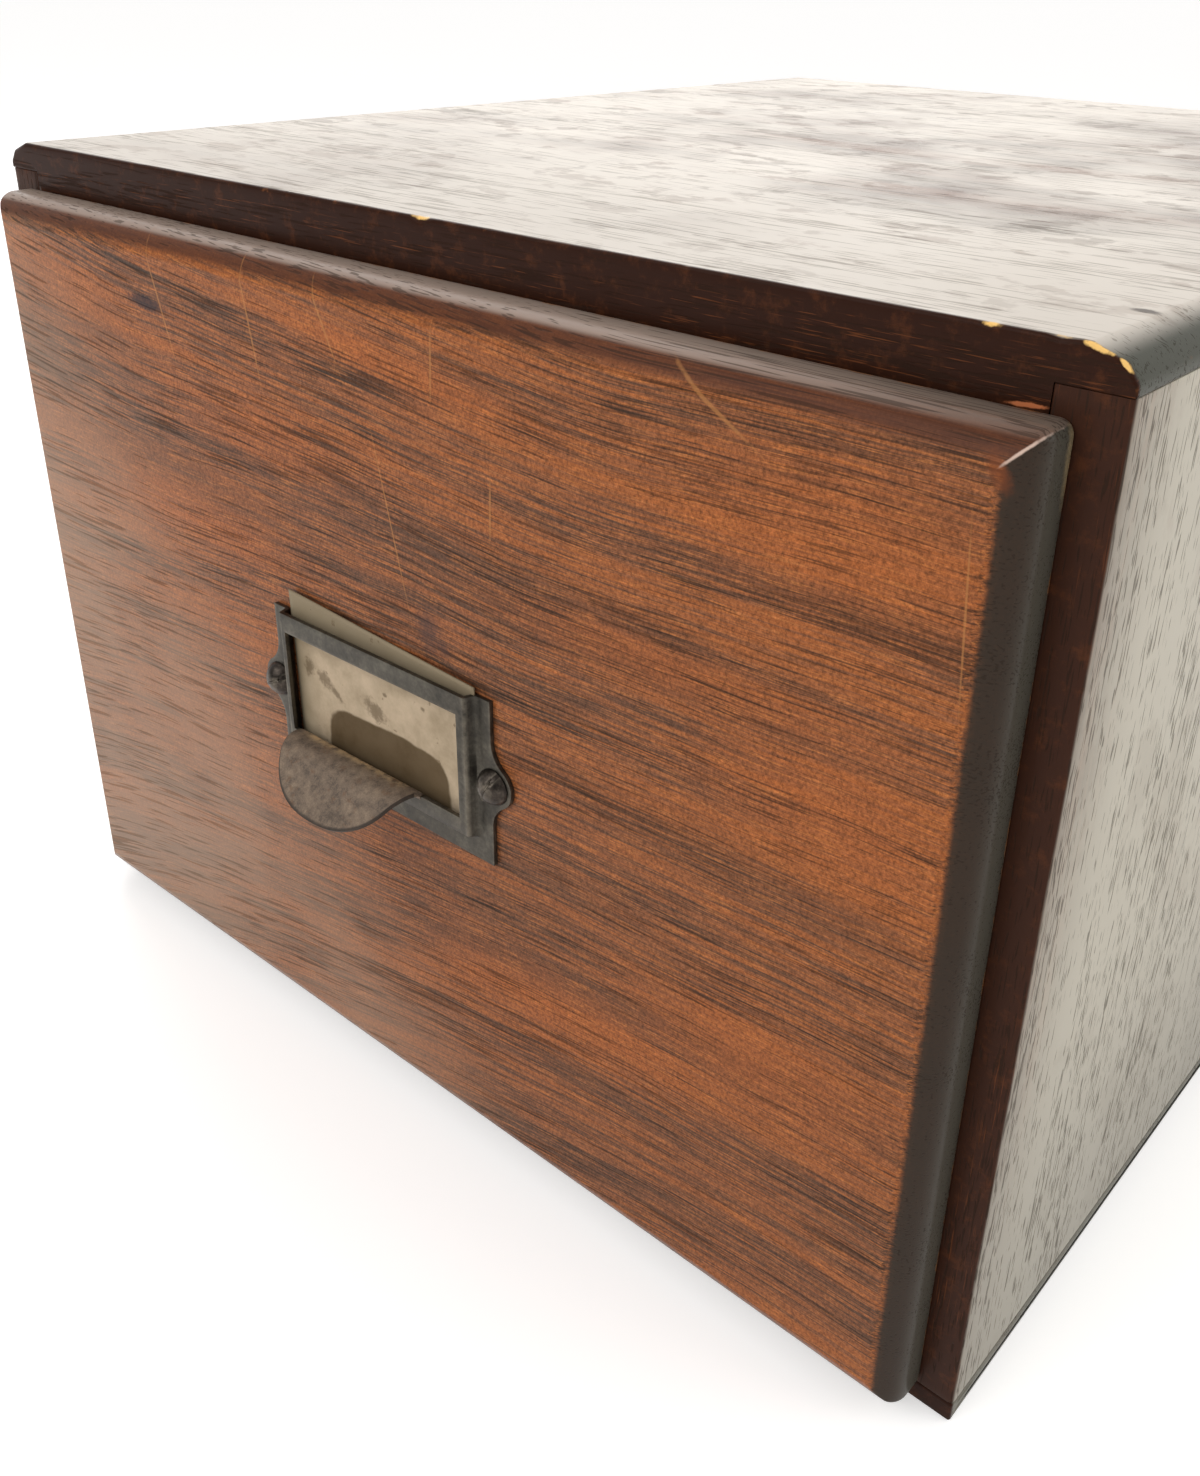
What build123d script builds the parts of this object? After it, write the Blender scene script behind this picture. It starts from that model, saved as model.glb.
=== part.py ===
from build123d import *
import os
from math import acos, cos, sin

# Index card drawer: a hardwood case open at the front, with one lipped drawer that carries a pressed
# steel label frame and pull, and a follower block that holds the cards up inside.
# Millimetres. +Z is up, the drawer's front faces -Y, and the origin is the middle of the case's base.

# ---- case
case_width = 250.0
case_height = 182.0
case_depth = 285.0
side_thick = 10.0
top_thick = 9.5
top_lip = 5.5            # what is left of the top where it laps over a side
top_round_width = 7.5    # the rounded long edges of the top, measured across
top_round_height = 4.8   # and measured down
bottom_thick = 9.0
bottom_lip = 4.4         # what is left of the bottom where it laps under a side
back_thick = 8.0
back_rabbet = 5.0        # depth of the step in each side that holds the back
brad_width = 1.6         # cut brads, square in section
brad_length = 20.0
brad_head_width = 3.0
brad_head_thick = 0.8
brad_fit = 0.02
bottom_brad_count = 4    # in each long edge of the bottom
back_brad_count = 3      # in each upright edge of the back
drawer_brad_count = 3    # through the panel into the drawer's back
brad_end_margin = 24.0

# ---- drawer box
drawer_side_play = 0.8
drawer_rise = 0.3        # running gap over the case bottom
drawer_top_play = 1.5
drawer_rear_play = 2.0
drawer_side_thick = 11.0
drawer_side_height = 118.0
drawer_back_thick = 9.0
side_top_round = 3.0
panel_thick = 5.0
panel_height = 6.0       # of the panel's underside over the lower edge of the sides
groove_depth = 4.5
groove_play = 0.1

# ---- lipped front
lip_gap = 0.3            # between the closed lip and the case
lip_thick = 9.5
lip_side_margin = 6.2    # from the lip's end to the outside of the case
lip_top = 173.0
lip_bottom = 4.5
lip_round = 5.3
lip_corner_radius = 2.0
front_inner_thick = 9.5  # the part of the front that enters the case

# ---- dovetails
tail_count = 4
tail_root_share = 0.44   # of one pitch, at the root of a tail
tail_tip_share = 0.62    # of one pitch, at its tip
tail_blind_length = 8.5  # into the front

# ---- pressed label frame with its finger pull
sheet = 0.9
frame_width = 59.2
frame_height = 33.3
frame_base_height = 73.7     # of its lower edge above the table
lobe_radius = 4.3
lobe_fillet = 6.0
lobe_spacing = 60.0
lobe_height = 16.8           # above the frame's lower edge
raised_width = 52.4
raised_front = 3.0           # front of the raised part, from the wood
raised_base = 4.3            # its lower edge, above the frame's lower edge
press_radius = 0.8
window_width = 46.6
window_height = 21.0
window_base = 8.5            # its lower edge, above the frame's lower edge
pull_width = 28.8
pull_straight = 8.0          # length of its straight sides, seen from above
pull_tip = 6.6               # length of its rounded tip beyond them
pull_bend_radius = 1.5
pull_arch_radius = 11.5
pull_rise_angle = 25.0
pull_fall_angle = 50.0

# ---- screws of the label frame
screw_head_radius = 3.1
screw_head_height = 1.9
screw_shank_radius = 1.3
screw_length = 9.0
screw_point = 2.5
dome_bands = 3
slot_width = 0.8
slot_depth = 0.8
screw_hole_play = 0.3
screw_thread_fit = 0.02

# ---- label card
card_side_play = 0.3
card_thick = 0.4
card_gap = 0.15              # from the wood
card_left_height = 31.5      # the card's top is cut at a slant
card_right_height = 28.3
card_foot_play = 0.3

# ---- follower and its track
track_width = 24.0
track_thick = 1.5
track_front_margin = 14.0    # from the front end of the inside of the drawer
track_slot_play = 0.4        # each side of the bolt
track_slot_margin = 12.0     # from each end of the track
track_slot_rest_gap = 0.3    # behind the bolt when the follower is all the way back
track_pin_radius = 1.2
track_pin_head_radius = 2.2
track_pin_head_thick = 0.9   # let into the track
track_pin_inset = 5.5        # from the track's ends
block_side_gap = 5.2         # from each side of the drawer
block_height = 104.0
block_thick = 13.0
block_corner_radius = 14.0
block_lift = 0.4             # over the track
bracket_width = 40.0
bracket_thick = 1.6
bracket_tail = 8.0           # from the middle of the bolt to the rear end of the foot
bracket_height = 46.0
bracket_bend = 3.0
follower_rear_gap = 2.0
bolt_radius = 2.5
bolt_head_radius = 5.0
bolt_head_height = 2.2
bolt_length = 17.0           # above its head
bolt_hole_play = 0.3         # in the foot
bolt_back_distance = 16.5    # behind the bracket's upright
plate_width = 20.0
plate_length = 26.0
plate_thick = 1.4
plate_gap = 0.3              # under the panel
nut_radius = 5.0
nut_height = 6.0
nut_bore_fit = 0.06
nut_seat_gap = 0.1
wing_reach = 12.5
wing_height = 10.0
wing_thick = 2.0
wing_round = 3.3
bracket_screw_radius = 1.5
bracket_screw_head_radius = 3.0
bracket_screw_head_height = 1.6
bracket_screw_length = 9.0
bracket_screw_spacing = 22.0
bracket_screw_height = 34.0  # above the bracket's foot

# ---- places worked out from the sizes
case_front = -case_depth / 2
case_back_face = case_depth / 2
inner_half = case_width / 2 - side_thick
opening_top = case_height - top_thick
drawer_half = inner_half - drawer_side_play
drawer_base = bottom_thick + drawer_rise
tray_half = drawer_half - drawer_side_thick
lip_back = case_front - lip_gap
lip_face = lip_back - lip_thick
front_inner_face = lip_back + front_inner_thick
drawer_rear = case_back_face - back_thick - drawer_rear_play
tray_rear = drawer_rear - drawer_back_thick
side_top = drawer_base + drawer_side_height
panel_base = drawer_base + panel_height
panel_top = panel_base + panel_thick
groove_reach = groove_depth - groove_play
frame_mid_height = frame_base_height + frame_height / 2
lobe_mid_height = frame_base_height + lobe_height
raised_face = lip_face - raised_front
track_top = panel_top + track_thick
slot_half = bolt_radius + track_slot_play
slot_tail = slot_half + track_slot_rest_gap
bolt_y = tray_rear - follower_rear_gap - max(bracket_tail, wing_reach, slot_tail + track_slot_margin)
slot_high = bolt_y + slot_tail
track_low = front_inner_face + track_front_margin
track_high = slot_high + track_slot_margin
foot_base = track_top + block_lift / 2
foot_top = foot_base + bracket_thick
foot_rear = bolt_y + bracket_tail
upright_back = bolt_y - bolt_back_distance
block_back = upright_back - bracket_thick


def block(low, high):
    size = [b - a for a, b in zip(low, high)]
    middle = [(a + b) / 2 for a, b in zip(low, high)]
    return Pos(*middle) * Box(*size)


def rod(radius, low, high, x=0.0, y=0.0):
    # an upright cylinder between two heights
    return Pos(x, y, (low + high) / 2) * Cylinder(radius, high - low)


def cross_rod(radius, low, high, x, z):
    # a cylinder that lies along Y between two depths
    return Pos(x, (low + high) / 2, z) * Rot(90, 0, 0) * Cylinder(radius, high - low)


def front_view(y):
    # a plane seen from the front: its x is X, its y is Z, and extruding goes towards -Y
    return Plane(origin=(0, y, 0), x_dir=(1, 0, 0), z_dir=(0, -1, 0))


def spread(low, high, count):
    # evenly spaced places from low to high, both included
    if count < 2:
        return [(low + high) / 2]
    return [low + (high - low) * i / (count - 1) for i in range(count)]


# ---- case boards

def case_top():
    half = case_width / 2
    lip_base = case_height - top_lip
    round_top = half - top_round_width
    round_base = case_height - top_round_height
    right = [
        Line((0, opening_top), (inner_half, opening_top)),
        Line((inner_half, opening_top), (inner_half, lip_base)),
        Line((inner_half, lip_base), (half, lip_base)),
        Line((half, lip_base), (half, round_base)),
        EllipticalCenterArc((round_top, round_base), top_round_width, top_round_height, 0, arc_size=90),
        Line((round_top, case_height), (0, case_height)),
        Line((0, case_height), (0, opening_top)),
    ]
    section = make_face(right)
    board = extrude(front_view(case_front) * section, amount=-case_depth)
    return board + mirror(board, about=Plane.YZ)


def case_bottom():
    tongue = block((-inner_half, case_front, 0), (inner_half, case_back_face, bottom_thick))
    lips = block((-case_width / 2, case_front, 0), (case_width / 2, case_back_face, bottom_lip))
    return tongue + lips - case_bottom_brads(brad_fit)


def case_side(sign):
    outer = sign * case_width / 2
    inner = sign * inner_half
    low, high = sorted((outer, inner))
    board = block((low, case_front, bottom_lip), (high, case_back_face, case_height - top_lip))
    step_low, step_high = sorted((inner, inner + sign * back_rabbet))
    step = block(
        (step_low, case_back_face - back_thick, bottom_thick), (step_high, case_back_face, opening_top)
    )
    return board - step - case_bottom_brads(brad_fit) - case_back_brads(brad_fit)


def case_back():
    half = inner_half + back_rabbet
    board = block(
        (-half, case_back_face - back_thick, bottom_thick), (half, case_back_face, opening_top)
    )
    return board - case_back_brads(brad_fit)


def brad(fit=0.0):
    # a brad that points up from its head, which ends at z = 0
    head_half = brad_head_width / 2 + fit
    half = brad_width / 2 + fit
    head = block((-head_half, -head_half, 0), (head_half, head_half, brad_head_thick))
    shank = block((-half, -half, 0), (half, half, brad_length + fit))
    return head + shank


def case_bottom_brads(fit=0.0):
    places = spread(case_front + brad_end_margin, case_back_face - brad_end_margin, bottom_brad_count)
    x = case_width / 2 - side_thick / 2
    return Compound([Pos(s * x, y, 0) * brad(fit) for s in (-1, 1) for y in places])


def case_back_brads(fit=0.0):
    places = spread(bottom_thick + brad_end_margin, opening_top - brad_end_margin, back_brad_count)
    x = inner_half + back_rabbet / 2
    turned = Rot(90, 0, 0) * brad(fit)
    return Compound([Pos(s * x, case_back_face, z) * turned for s in (-1, 1) for z in places])


# ---- drawer box

def tails(low, high, root, tip):
    # trapezoid tails in the Y-Z plane, as wide as the sides are thick; they widen towards their tips
    pitch = (high - low) / tail_count
    root_half = pitch * tail_root_share / 2
    tip_half = pitch * tail_tip_share / 2
    shapes = []
    for i in range(tail_count):
        middle = low + pitch * (i + 0.5)
        outline = Polyline(
            (root, middle - root_half), (tip, middle - tip_half),
            (tip, middle + tip_half), (root, middle + root_half), close=True,
        )
        face = Plane(origin=(tray_half, 0, 0), x_dir=(0, 1, 0), z_dir=(1, 0, 0)) * make_face(outline)
        shapes.append(extrude(face, amount=drawer_side_thick))
    return shapes


def front_tails():
    return tails(drawer_base, side_top, front_inner_face, front_inner_face - tail_blind_length)


def rear_tails():
    return tails(panel_top, side_top, tray_rear, drawer_rear)


def drawer_right_side():
    board = block((tray_half, front_inner_face, drawer_base), (drawer_half, tray_rear, side_top))
    foot = block((tray_half, tray_rear, drawer_base), (drawer_half, drawer_rear, panel_top))
    board = fillet(board.edges().filter_by(Axis.Y).group_by(Axis.Z)[-1], side_top_round)
    board = board + foot
    for tail in front_tails() + rear_tails():
        board = board + tail
    groove_low = front_inner_face - tail_blind_length
    groove = block((tray_half, groove_low, panel_base), (tray_half + groove_depth, drawer_rear, panel_top))
    return board - groove


def both_sides(shapes):
    return shapes + [mirror(s, about=Plane.YZ) for s in shapes]


def drawer_back():
    board = block(
        (-drawer_half, tray_rear, panel_top), (drawer_half, drawer_rear, opening_top - drawer_top_play)
    )
    for tail in both_sides(rear_tails()):
        board = board - tail
    return board - drawer_brads(brad_fit)


def drawer_panel():
    half = tray_half + groove_reach
    low = front_inner_face - groove_reach
    board = block((-half, low, panel_base), (half, drawer_rear, panel_top))
    return board - track_slot() - drawer_brads(brad_fit) - track_pins(brad_fit)


def drawer_brads(fit=0.0):
    places = spread(-tray_half + brad_end_margin, tray_half - brad_end_margin, drawer_brad_count)
    y = tray_rear + drawer_back_thick / 2
    return Compound([Pos(x, y, panel_base) * brad(fit) for x in places])


def lip():
    # the overlapping board: its four front edges are rounded and meet in mitres at the corners
    half = case_width / 2 - lip_side_margin
    height = lip_top - lip_bottom
    middle = (lip_top + lip_bottom) / 2
    outline = Pos(0, middle) * RectangleRounded(2 * half, height, lip_corner_radius)
    board = extrude(front_view(lip_back) * outline, amount=lip_thick)
    blank = block((-half, lip_face, lip_bottom), (half, lip_back, lip_top))
    rounded_long_edges = fillet(blank.edges().filter_by(Axis.X).group_by(Axis.Y)[0], lip_round)
    rounded_ends = fillet(blank.edges().filter_by(Axis.Z).group_by(Axis.Y)[0], lip_round)
    return board & rounded_long_edges & rounded_ends


def drawer_front():
    top = opening_top - drawer_top_play
    inner = block((-drawer_half, lip_back, drawer_base), (drawer_half, front_inner_face, top))
    for tail in both_sides(front_tails()):
        inner = inner - tail
    half = tray_half + groove_depth
    groove_low = front_inner_face - groove_depth
    groove = block((-half, groove_low, panel_base), (half, front_inner_face, panel_top))
    return lip() + (inner - groove) - label_screws(screw_thread_fit)


# ---- pressed label frame

def frame_outline():
    # a plate with a screw ear in the middle of each end; the ears run into the plate in hollow curves
    plate = Pos(0, frame_mid_height) * Rectangle(frame_width, frame_height)
    ears = [Pos(s * lobe_spacing / 2, lobe_mid_height) * Circle(lobe_radius) for s in (-1, 1)]
    outline = plate + ears[0] + ears[1]
    hollows = outline.vertices().filter_by_position(
        Axis.Y, lobe_mid_height - lobe_radius, lobe_mid_height + lobe_radius
    )
    return fillet(hollows, lobe_fillet)


def raised_box(inset, front, top):
    # the raised part of the frame, drawn in by inset all round except at the open top
    low = frame_base_height + raised_base + inset
    half = raised_width / 2 - inset
    return block((-half, lip_face - front, low), (half, lip_face, top))


def finger_pull():
    # the tongue that is folded out of the window: a bend, then an arch that falls away to its tip
    start = (-raised_face - sheet / 2, frame_base_height + window_base - pull_bend_radius)
    bend = JernArc(start, (0, 1), pull_bend_radius, -(90 - pull_rise_angle))
    arch = JernArc(bend @ 1, bend % 1, pull_arch_radius, -(pull_rise_angle + pull_fall_angle))
    strip = trace(Wire([bend, arch]), line_width=sheet)
    side_view = Plane(origin=(pull_width / 2, 0, 0), x_dir=(0, -1, 0), z_dir=(-1, 0, 0))
    curled = extrude(side_view * strip, amount=pull_width)
    tip_y = raised_face - pull_straight
    sides = Pos(0, (lip_face + tip_y) / 2) * Rectangle(pull_width, lip_face - tip_y)
    tip = Pos(0, tip_y) * Ellipse(pull_width / 2, pull_tip)
    plan = extrude(sides + tip, amount=frame_base_height + frame_height)
    return curled & plan


def label_frame_pull():
    frame_top = frame_base_height + frame_height
    flange = extrude(front_view(lip_face) * frame_outline(), amount=sheet)
    raised = raised_box(0, raised_front, frame_top)
    edges = raised.edges().filter_by(Axis.Z).group_by(Axis.Y)[0]
    edges = edges + raised.edges().filter_by(Axis.X).group_by(Axis.Y)[0].group_by(Axis.Z)[0]
    raised = fillet(edges, press_radius)
    pocket = raised_box(sheet, raised_front - sheet, frame_top + sheet)
    window_low = frame_base_height + window_base
    window = block(
        (-window_width / 2, lip_face - raised_front - sheet, window_low),
        (window_width / 2, lip_face, window_low + window_height),
    )
    hole_radius = screw_shank_radius + screw_hole_play
    frame = flange + raised - pocket - window
    for x in (-lobe_spacing / 2, lobe_spacing / 2):
        frame = frame - cross_rod(hole_radius, lip_face - sheet, lip_face, x, lobe_mid_height)
    return frame + finger_pull()


def round_head_screw(head_radius, rise, shank_radius, length):
    # a slotted wood screw that points along -Z, its domed head seated at z = 0
    ball = (head_radius ** 2 + rise ** 2) / (2 * rise)
    edge = acos((ball - rise) / ball)
    dome = [(ball * sin(a), rise - ball + ball * cos(a)) for a in spread(0, edge, dome_bands + 1)]
    shank = [(shank_radius, 0), (shank_radius, screw_point - length), (0, -length)]
    body = revolve(Plane.XZ * make_face(Polyline(*dome, *shank, close=True)), axis=Axis.Z)
    cut = block((-head_radius, -slot_width / 2, rise - slot_depth), (head_radius, slot_width / 2, rise))
    return body - cut


def label_screws(fit=0.0):
    screw = round_head_screw(
        screw_head_radius, screw_head_height, screw_shank_radius + fit, screw_length + fit
    )
    faced = Rot(90, 0, 0) * screw
    y = lip_face - sheet
    return Compound([Pos(s * lobe_spacing / 2, y, lobe_mid_height) * faced for s in (-1, 1)])


def label_card():
    half = raised_width / 2 - sheet - card_side_play
    base = frame_base_height + raised_base + sheet + card_foot_play
    outline = Polyline(
        (-half, base), (half, base), (half, base + card_right_height), (-half, base + card_left_height),
        close=True,
    )
    return extrude(front_view(lip_face - card_gap) * make_face(outline), amount=card_thick)


# ---- follower and its track

def track_slot():
    # the way of the bolt, through the panel and the track
    low = track_low + track_slot_margin
    shape = Pos(0, (low + slot_high) / 2) * Rot(0, 0, 90) * SlotOverall(slot_high - low, 2 * slot_half)
    return Pos(0, 0, panel_base) * extrude(shape, amount=track_top - panel_base)


def track_pins(fit=0.0):
    # a flat-headed pin at each end of the track
    pins = []
    for y in (track_low + track_pin_inset, track_high - track_pin_inset):
        shank = rod(track_pin_radius + fit, panel_base, track_top, 0, y)
        head = rod(track_pin_head_radius + fit, track_top - track_pin_head_thick, track_top, 0, y)
        pins.append(shank + head)
    return Compound(pins)


def follower_track():
    half = track_width / 2
    strip = block((-half, track_low, panel_top), (half, track_high, track_top))
    return strip - track_slot() - track_pins(brad_fit)


def follower_block():
    base = track_top + block_lift
    width = 2 * (tray_half - block_side_gap)
    outline = Pos(0, base + block_height / 2) * Rectangle(width, block_height)
    outline = fillet(outline.vertices().group_by(Axis.Y)[-1], block_corner_radius)
    board = extrude(front_view(block_back) * outline, amount=block_thick)
    return board - bracket_screws(screw_thread_fit)


def follower_bracket():
    # an angle of steel strip: its upright is screwed to the block, its foot runs on the track
    half = bracket_width / 2
    foot = block((-half, block_back, foot_base), (half, foot_rear, foot_top))
    upright = block((-half, block_back, foot_base), (half, upright_back, foot_base + bracket_height))
    angle = foot + upright
    inside = angle.edges().filter_by(Axis.X).sort_by_distance((0, upright_back, foot_top))[0]
    angle = fillet(inside, bracket_bend)
    hole = rod(bolt_radius + bolt_hole_play, foot_base, foot_top, 0, bolt_y)
    return angle - hole - bracket_screws(screw_thread_fit)


def bracket_screws(fit=0.0):
    screw = round_head_screw(
        bracket_screw_head_radius, bracket_screw_head_height,
        bracket_screw_radius + fit, bracket_screw_length + fit,
    )
    faced = Rot(-90, 0, 0) * screw
    z = foot_base + bracket_screw_height
    return Compound([Pos(s * bracket_screw_spacing / 2, upright_back, z) * faced for s in (-1, 1)])


def follower_bolt():
    head_top = panel_base - plate_gap - plate_thick
    head = rod(bolt_head_radius, head_top - bolt_head_height, head_top, 0, bolt_y)
    shank = rod(bolt_radius, head_top - bolt_head_height, head_top + bolt_length, 0, bolt_y)
    return head + shank


def follower_plate():
    # runs under the panel, between the bolt's head and the wood
    high = panel_base - plate_gap
    low = high - plate_thick
    plate = Pos(0, bolt_y, (low + high) / 2) * Box(plate_width, plate_length, plate_thick)
    return plate - rod(bolt_radius, low, high, 0, bolt_y)


def thumb_nut():
    base = foot_top + nut_seat_gap
    hub = rod(nut_radius, base, base + nut_height, 0, bolt_y)
    wings = Pos(0, bolt_y, base + wing_height / 2) * Box(2 * wing_reach, wing_thick, wing_height)
    ears = fillet(wings.edges().filter_by(Axis.Y), wing_round)
    gap = rod(nut_radius, base + nut_height, base + wing_height, 0, bolt_y)
    bore = rod(bolt_radius + nut_bore_fit, base, base + wing_height, 0, bolt_y)
    return hub + (ears - gap) - bore


nodes = {
    "case_top": case_top(),
    "case_bottom": case_bottom(),
    "case_left_side": case_side(-1),
    "case_right_side": case_side(1),
    "case_back": case_back(),
    "case_bottom_brads": case_bottom_brads(),
    "case_back_brads": case_back_brads(),
    "drawer_front": drawer_front(),
    "drawer_left_side": mirror(drawer_right_side(), about=Plane.YZ),
    "drawer_right_side": drawer_right_side(),
    "drawer_back": drawer_back(),
    "drawer_bottom": drawer_panel(),
    "drawer_bottom_brads": drawer_brads(),
    "label_frame_pull": label_frame_pull(),
    "label_screws": label_screws(),
    "label_card": label_card(),
    "follower_track": follower_track(),
    "follower_track_pins": track_pins(),
    "follower_block": follower_block(),
    "follower_bracket": follower_bracket(),
    "follower_bracket_screws": bracket_screws(),
    "follower_bolt": follower_bolt(),
    "follower_slide_plate": follower_plate(),
    "follower_thumb_nut": thumb_nut(),
}

os.makedirs("parts", exist_ok=True)
for name, shape in nodes.items():
    export_step(shape, "parts/" + name + ".step")
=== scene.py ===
import math

import bpy
import numpy as np
from mathutils import Matrix, Vector


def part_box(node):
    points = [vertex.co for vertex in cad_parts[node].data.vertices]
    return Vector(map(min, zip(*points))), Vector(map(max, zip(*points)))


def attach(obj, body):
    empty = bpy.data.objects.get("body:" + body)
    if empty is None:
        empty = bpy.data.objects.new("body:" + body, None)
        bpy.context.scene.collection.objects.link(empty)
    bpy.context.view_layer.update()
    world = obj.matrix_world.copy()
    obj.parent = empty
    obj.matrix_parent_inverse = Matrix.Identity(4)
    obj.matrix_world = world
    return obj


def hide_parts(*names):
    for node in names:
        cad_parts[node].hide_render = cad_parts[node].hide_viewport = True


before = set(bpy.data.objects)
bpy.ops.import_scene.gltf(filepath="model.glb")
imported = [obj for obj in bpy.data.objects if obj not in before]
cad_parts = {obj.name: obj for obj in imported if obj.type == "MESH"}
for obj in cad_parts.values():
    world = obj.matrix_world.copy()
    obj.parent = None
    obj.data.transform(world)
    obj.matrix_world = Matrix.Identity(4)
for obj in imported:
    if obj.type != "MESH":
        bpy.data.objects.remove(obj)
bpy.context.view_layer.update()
print("frame loaded")

mm = 0.001


# small tools for surfaces

def gridFaces(rows, columns, closedRows=False, closedColumns=False):
    # quads between neighbouring points of a grid that is numbered row by row
    i = np.arange(rows if closedRows else rows - 1)[:, None]
    j = np.arange(columns if closedColumns else columns - 1)[None, :]
    nextRow = (i + 1) % rows
    nextColumn = (j + 1) % columns
    corners = [i * columns + j, i * columns + nextColumn, nextRow * columns + nextColumn,
               nextRow * columns + j]
    return np.stack(corners, -1).reshape(-1, 4).tolist()


def makeMesh(name, points, faces, smooth=True, wear=None):
    mesh = bpy.data.meshes.new(name)
    mesh.from_pydata(np.asarray(points).reshape(-1, 3).tolist(), [], faces)
    mesh.polygons.foreach_set("use_smooth", np.full(len(mesh.polygons), smooth))
    if wear is not None:
        layer = mesh.attributes.new("wear", "FLOAT", "POINT")
        layer.data.foreach_set("value", np.asarray(wear, np.float32).ravel())
    mesh.update()
    piece = bpy.data.objects.new(name, mesh)
    bpy.context.scene.collection.objects.link(piece)
    return piece


def seat(piece, body, slot, material, *nodes):
    # puts a finished piece on its body in place of its CAD nodes
    piece.data.materials.append(material)
    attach(piece, body)
    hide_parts(*nodes)
    return piece


def smoothStep(low, high, x):
    t = np.clip((x - low) / (high - low), 0, 1)
    return t * t * (3 - 2 * t)


def wobble(t, seed, waves=7, size=1.0):
    # a sum of sines with random pitch and phase, between about -size and size
    source = np.random.default_rng(seed)
    pitch = source.uniform(20, 260, waves)[:, None]
    phase = source.uniform(0, 2 * np.pi, waves)[:, None]
    return size * np.sin(pitch * np.asarray(t)[None, :] + phase).sum(0) / waves


# small tools for materials

def paint(red, green, blue):
    # a colour given as it looks on a screen, 0 to 255
    def linear(v):
        v = v / 255
        return v / 12.92 if v <= 0.04045 else ((v + 0.055) / 1.055) ** 2.4
    return (linear(red), linear(green), linear(blue), 1)


def newMaterial(name):
    material = bpy.data.materials.new(name)
    material.use_nodes = True
    tree = material.node_tree
    tree.nodes.clear()
    shader = tree.nodes.new("ShaderNodeBsdfPrincipled")
    output = tree.nodes.new("ShaderNodeOutputMaterial")
    tree.links.new(shader.outputs[0], output.inputs[0])
    return material, tree, shader


def put(tree, kind, values=(), **settings):
    # adds one node; values maps its sockets to numbers, colours or other nodes' outputs
    node = tree.nodes.new("ShaderNode" + kind)
    for key, value in settings.items():
        setattr(node, key, value)
    for key, value in dict(values).items():
        if isinstance(value, bpy.types.NodeSocket):
            tree.links.new(value, node.inputs[key])
        else:
            node.inputs[key].default_value = value
    return node


def objectCoords(tree):
    return put(tree, "TexCoord").outputs["Object"]


def mapped(tree, vector, scale=(1, 1, 1), shift=(0, 0, 0)):
    values = {"Vector": vector, "Scale": scale, "Location": shift}
    return put(tree, "Mapping", values).outputs[0]


def noise(tree, vector, scale=1.0, detail=2.0, roughness=0.5):
    values = {"Vector": vector, "Scale": scale, "Detail": detail, "Roughness": roughness, "Distortion": 0.0}
    return put(tree, "TexNoise", values).outputs[0]


def calc(tree, operation, a, b=0.0, clamp=False):
    return put(tree, "Math", {0: a, 1: b}, operation=operation, use_clamp=clamp).outputs[0]


def band(tree, value, low, high):
    # 0 below low, 1 above high, smooth between
    values = {"Value": value, "From Min": low, "From Max": high}
    return put(tree, "MapRange", values, interpolation_type="SMOOTHSTEP").outputs[0]


def blendColours(tree, factor, a, b, mode="MIX"):
    values = {0: factor, 6: a, 7: b}
    return put(tree, "Mix", values, data_type="RGBA", blend_type=mode).outputs[2]


def ramp(tree, value, stops):
    node = put(tree, "ValToRGB", {"Fac": value})
    elements = node.color_ramp.elements
    while len(elements) < len(stops):
        elements.new(0.5)
    for element, (place, colour) in zip(elements, stops):
        element.position = place
        element.color = colour
    return node.outputs[0]


def spotMask(tree, coords, spots, soft=0.35, ragged=1.2):
    # 1 inside small ellipsoids with ragged rims, each given in millimetres as its centre, its
    # half-sizes and its turn about Y in degrees
    total = None
    uneven = noise(tree, coords, 900, 3, 0.6)
    uneven = calc(tree, "MULTIPLY", calc(tree, "SUBTRACT", uneven, 0.5), ragged)
    for centre, size, turn in spots:
        values = {"Vector": coords, "Location": [c * mm for c in centre], "Scale": [s * mm for s in size],
                  "Rotation": (0, math.radians(turn), 0)}
        near = put(tree, "Mapping", values, vector_type="TEXTURE").outputs[0]
        reach = put(tree, "VectorMath", {0: near}, operation="LENGTH").outputs["Value"]
        reach = calc(tree, "ADD", reach, uneven)
        mask = calc(tree, "SUBTRACT", 1.0, band(tree, reach, 1 - soft, 1 + soft))
        total = mask if total is None else calc(tree, "MAXIMUM", total, mask)
    return total


def runMask(tree, coords, direction, start, stop):
    # grows from 0 to 1 along a direction, between two places given in millimetres
    values = {0: coords, 1: direction}
    where = put(tree, "VectorMath", values, operation="DOT_PRODUCT").outputs["Value"]
    return band(tree, where, start * mm, stop * mm)


# wood

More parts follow.
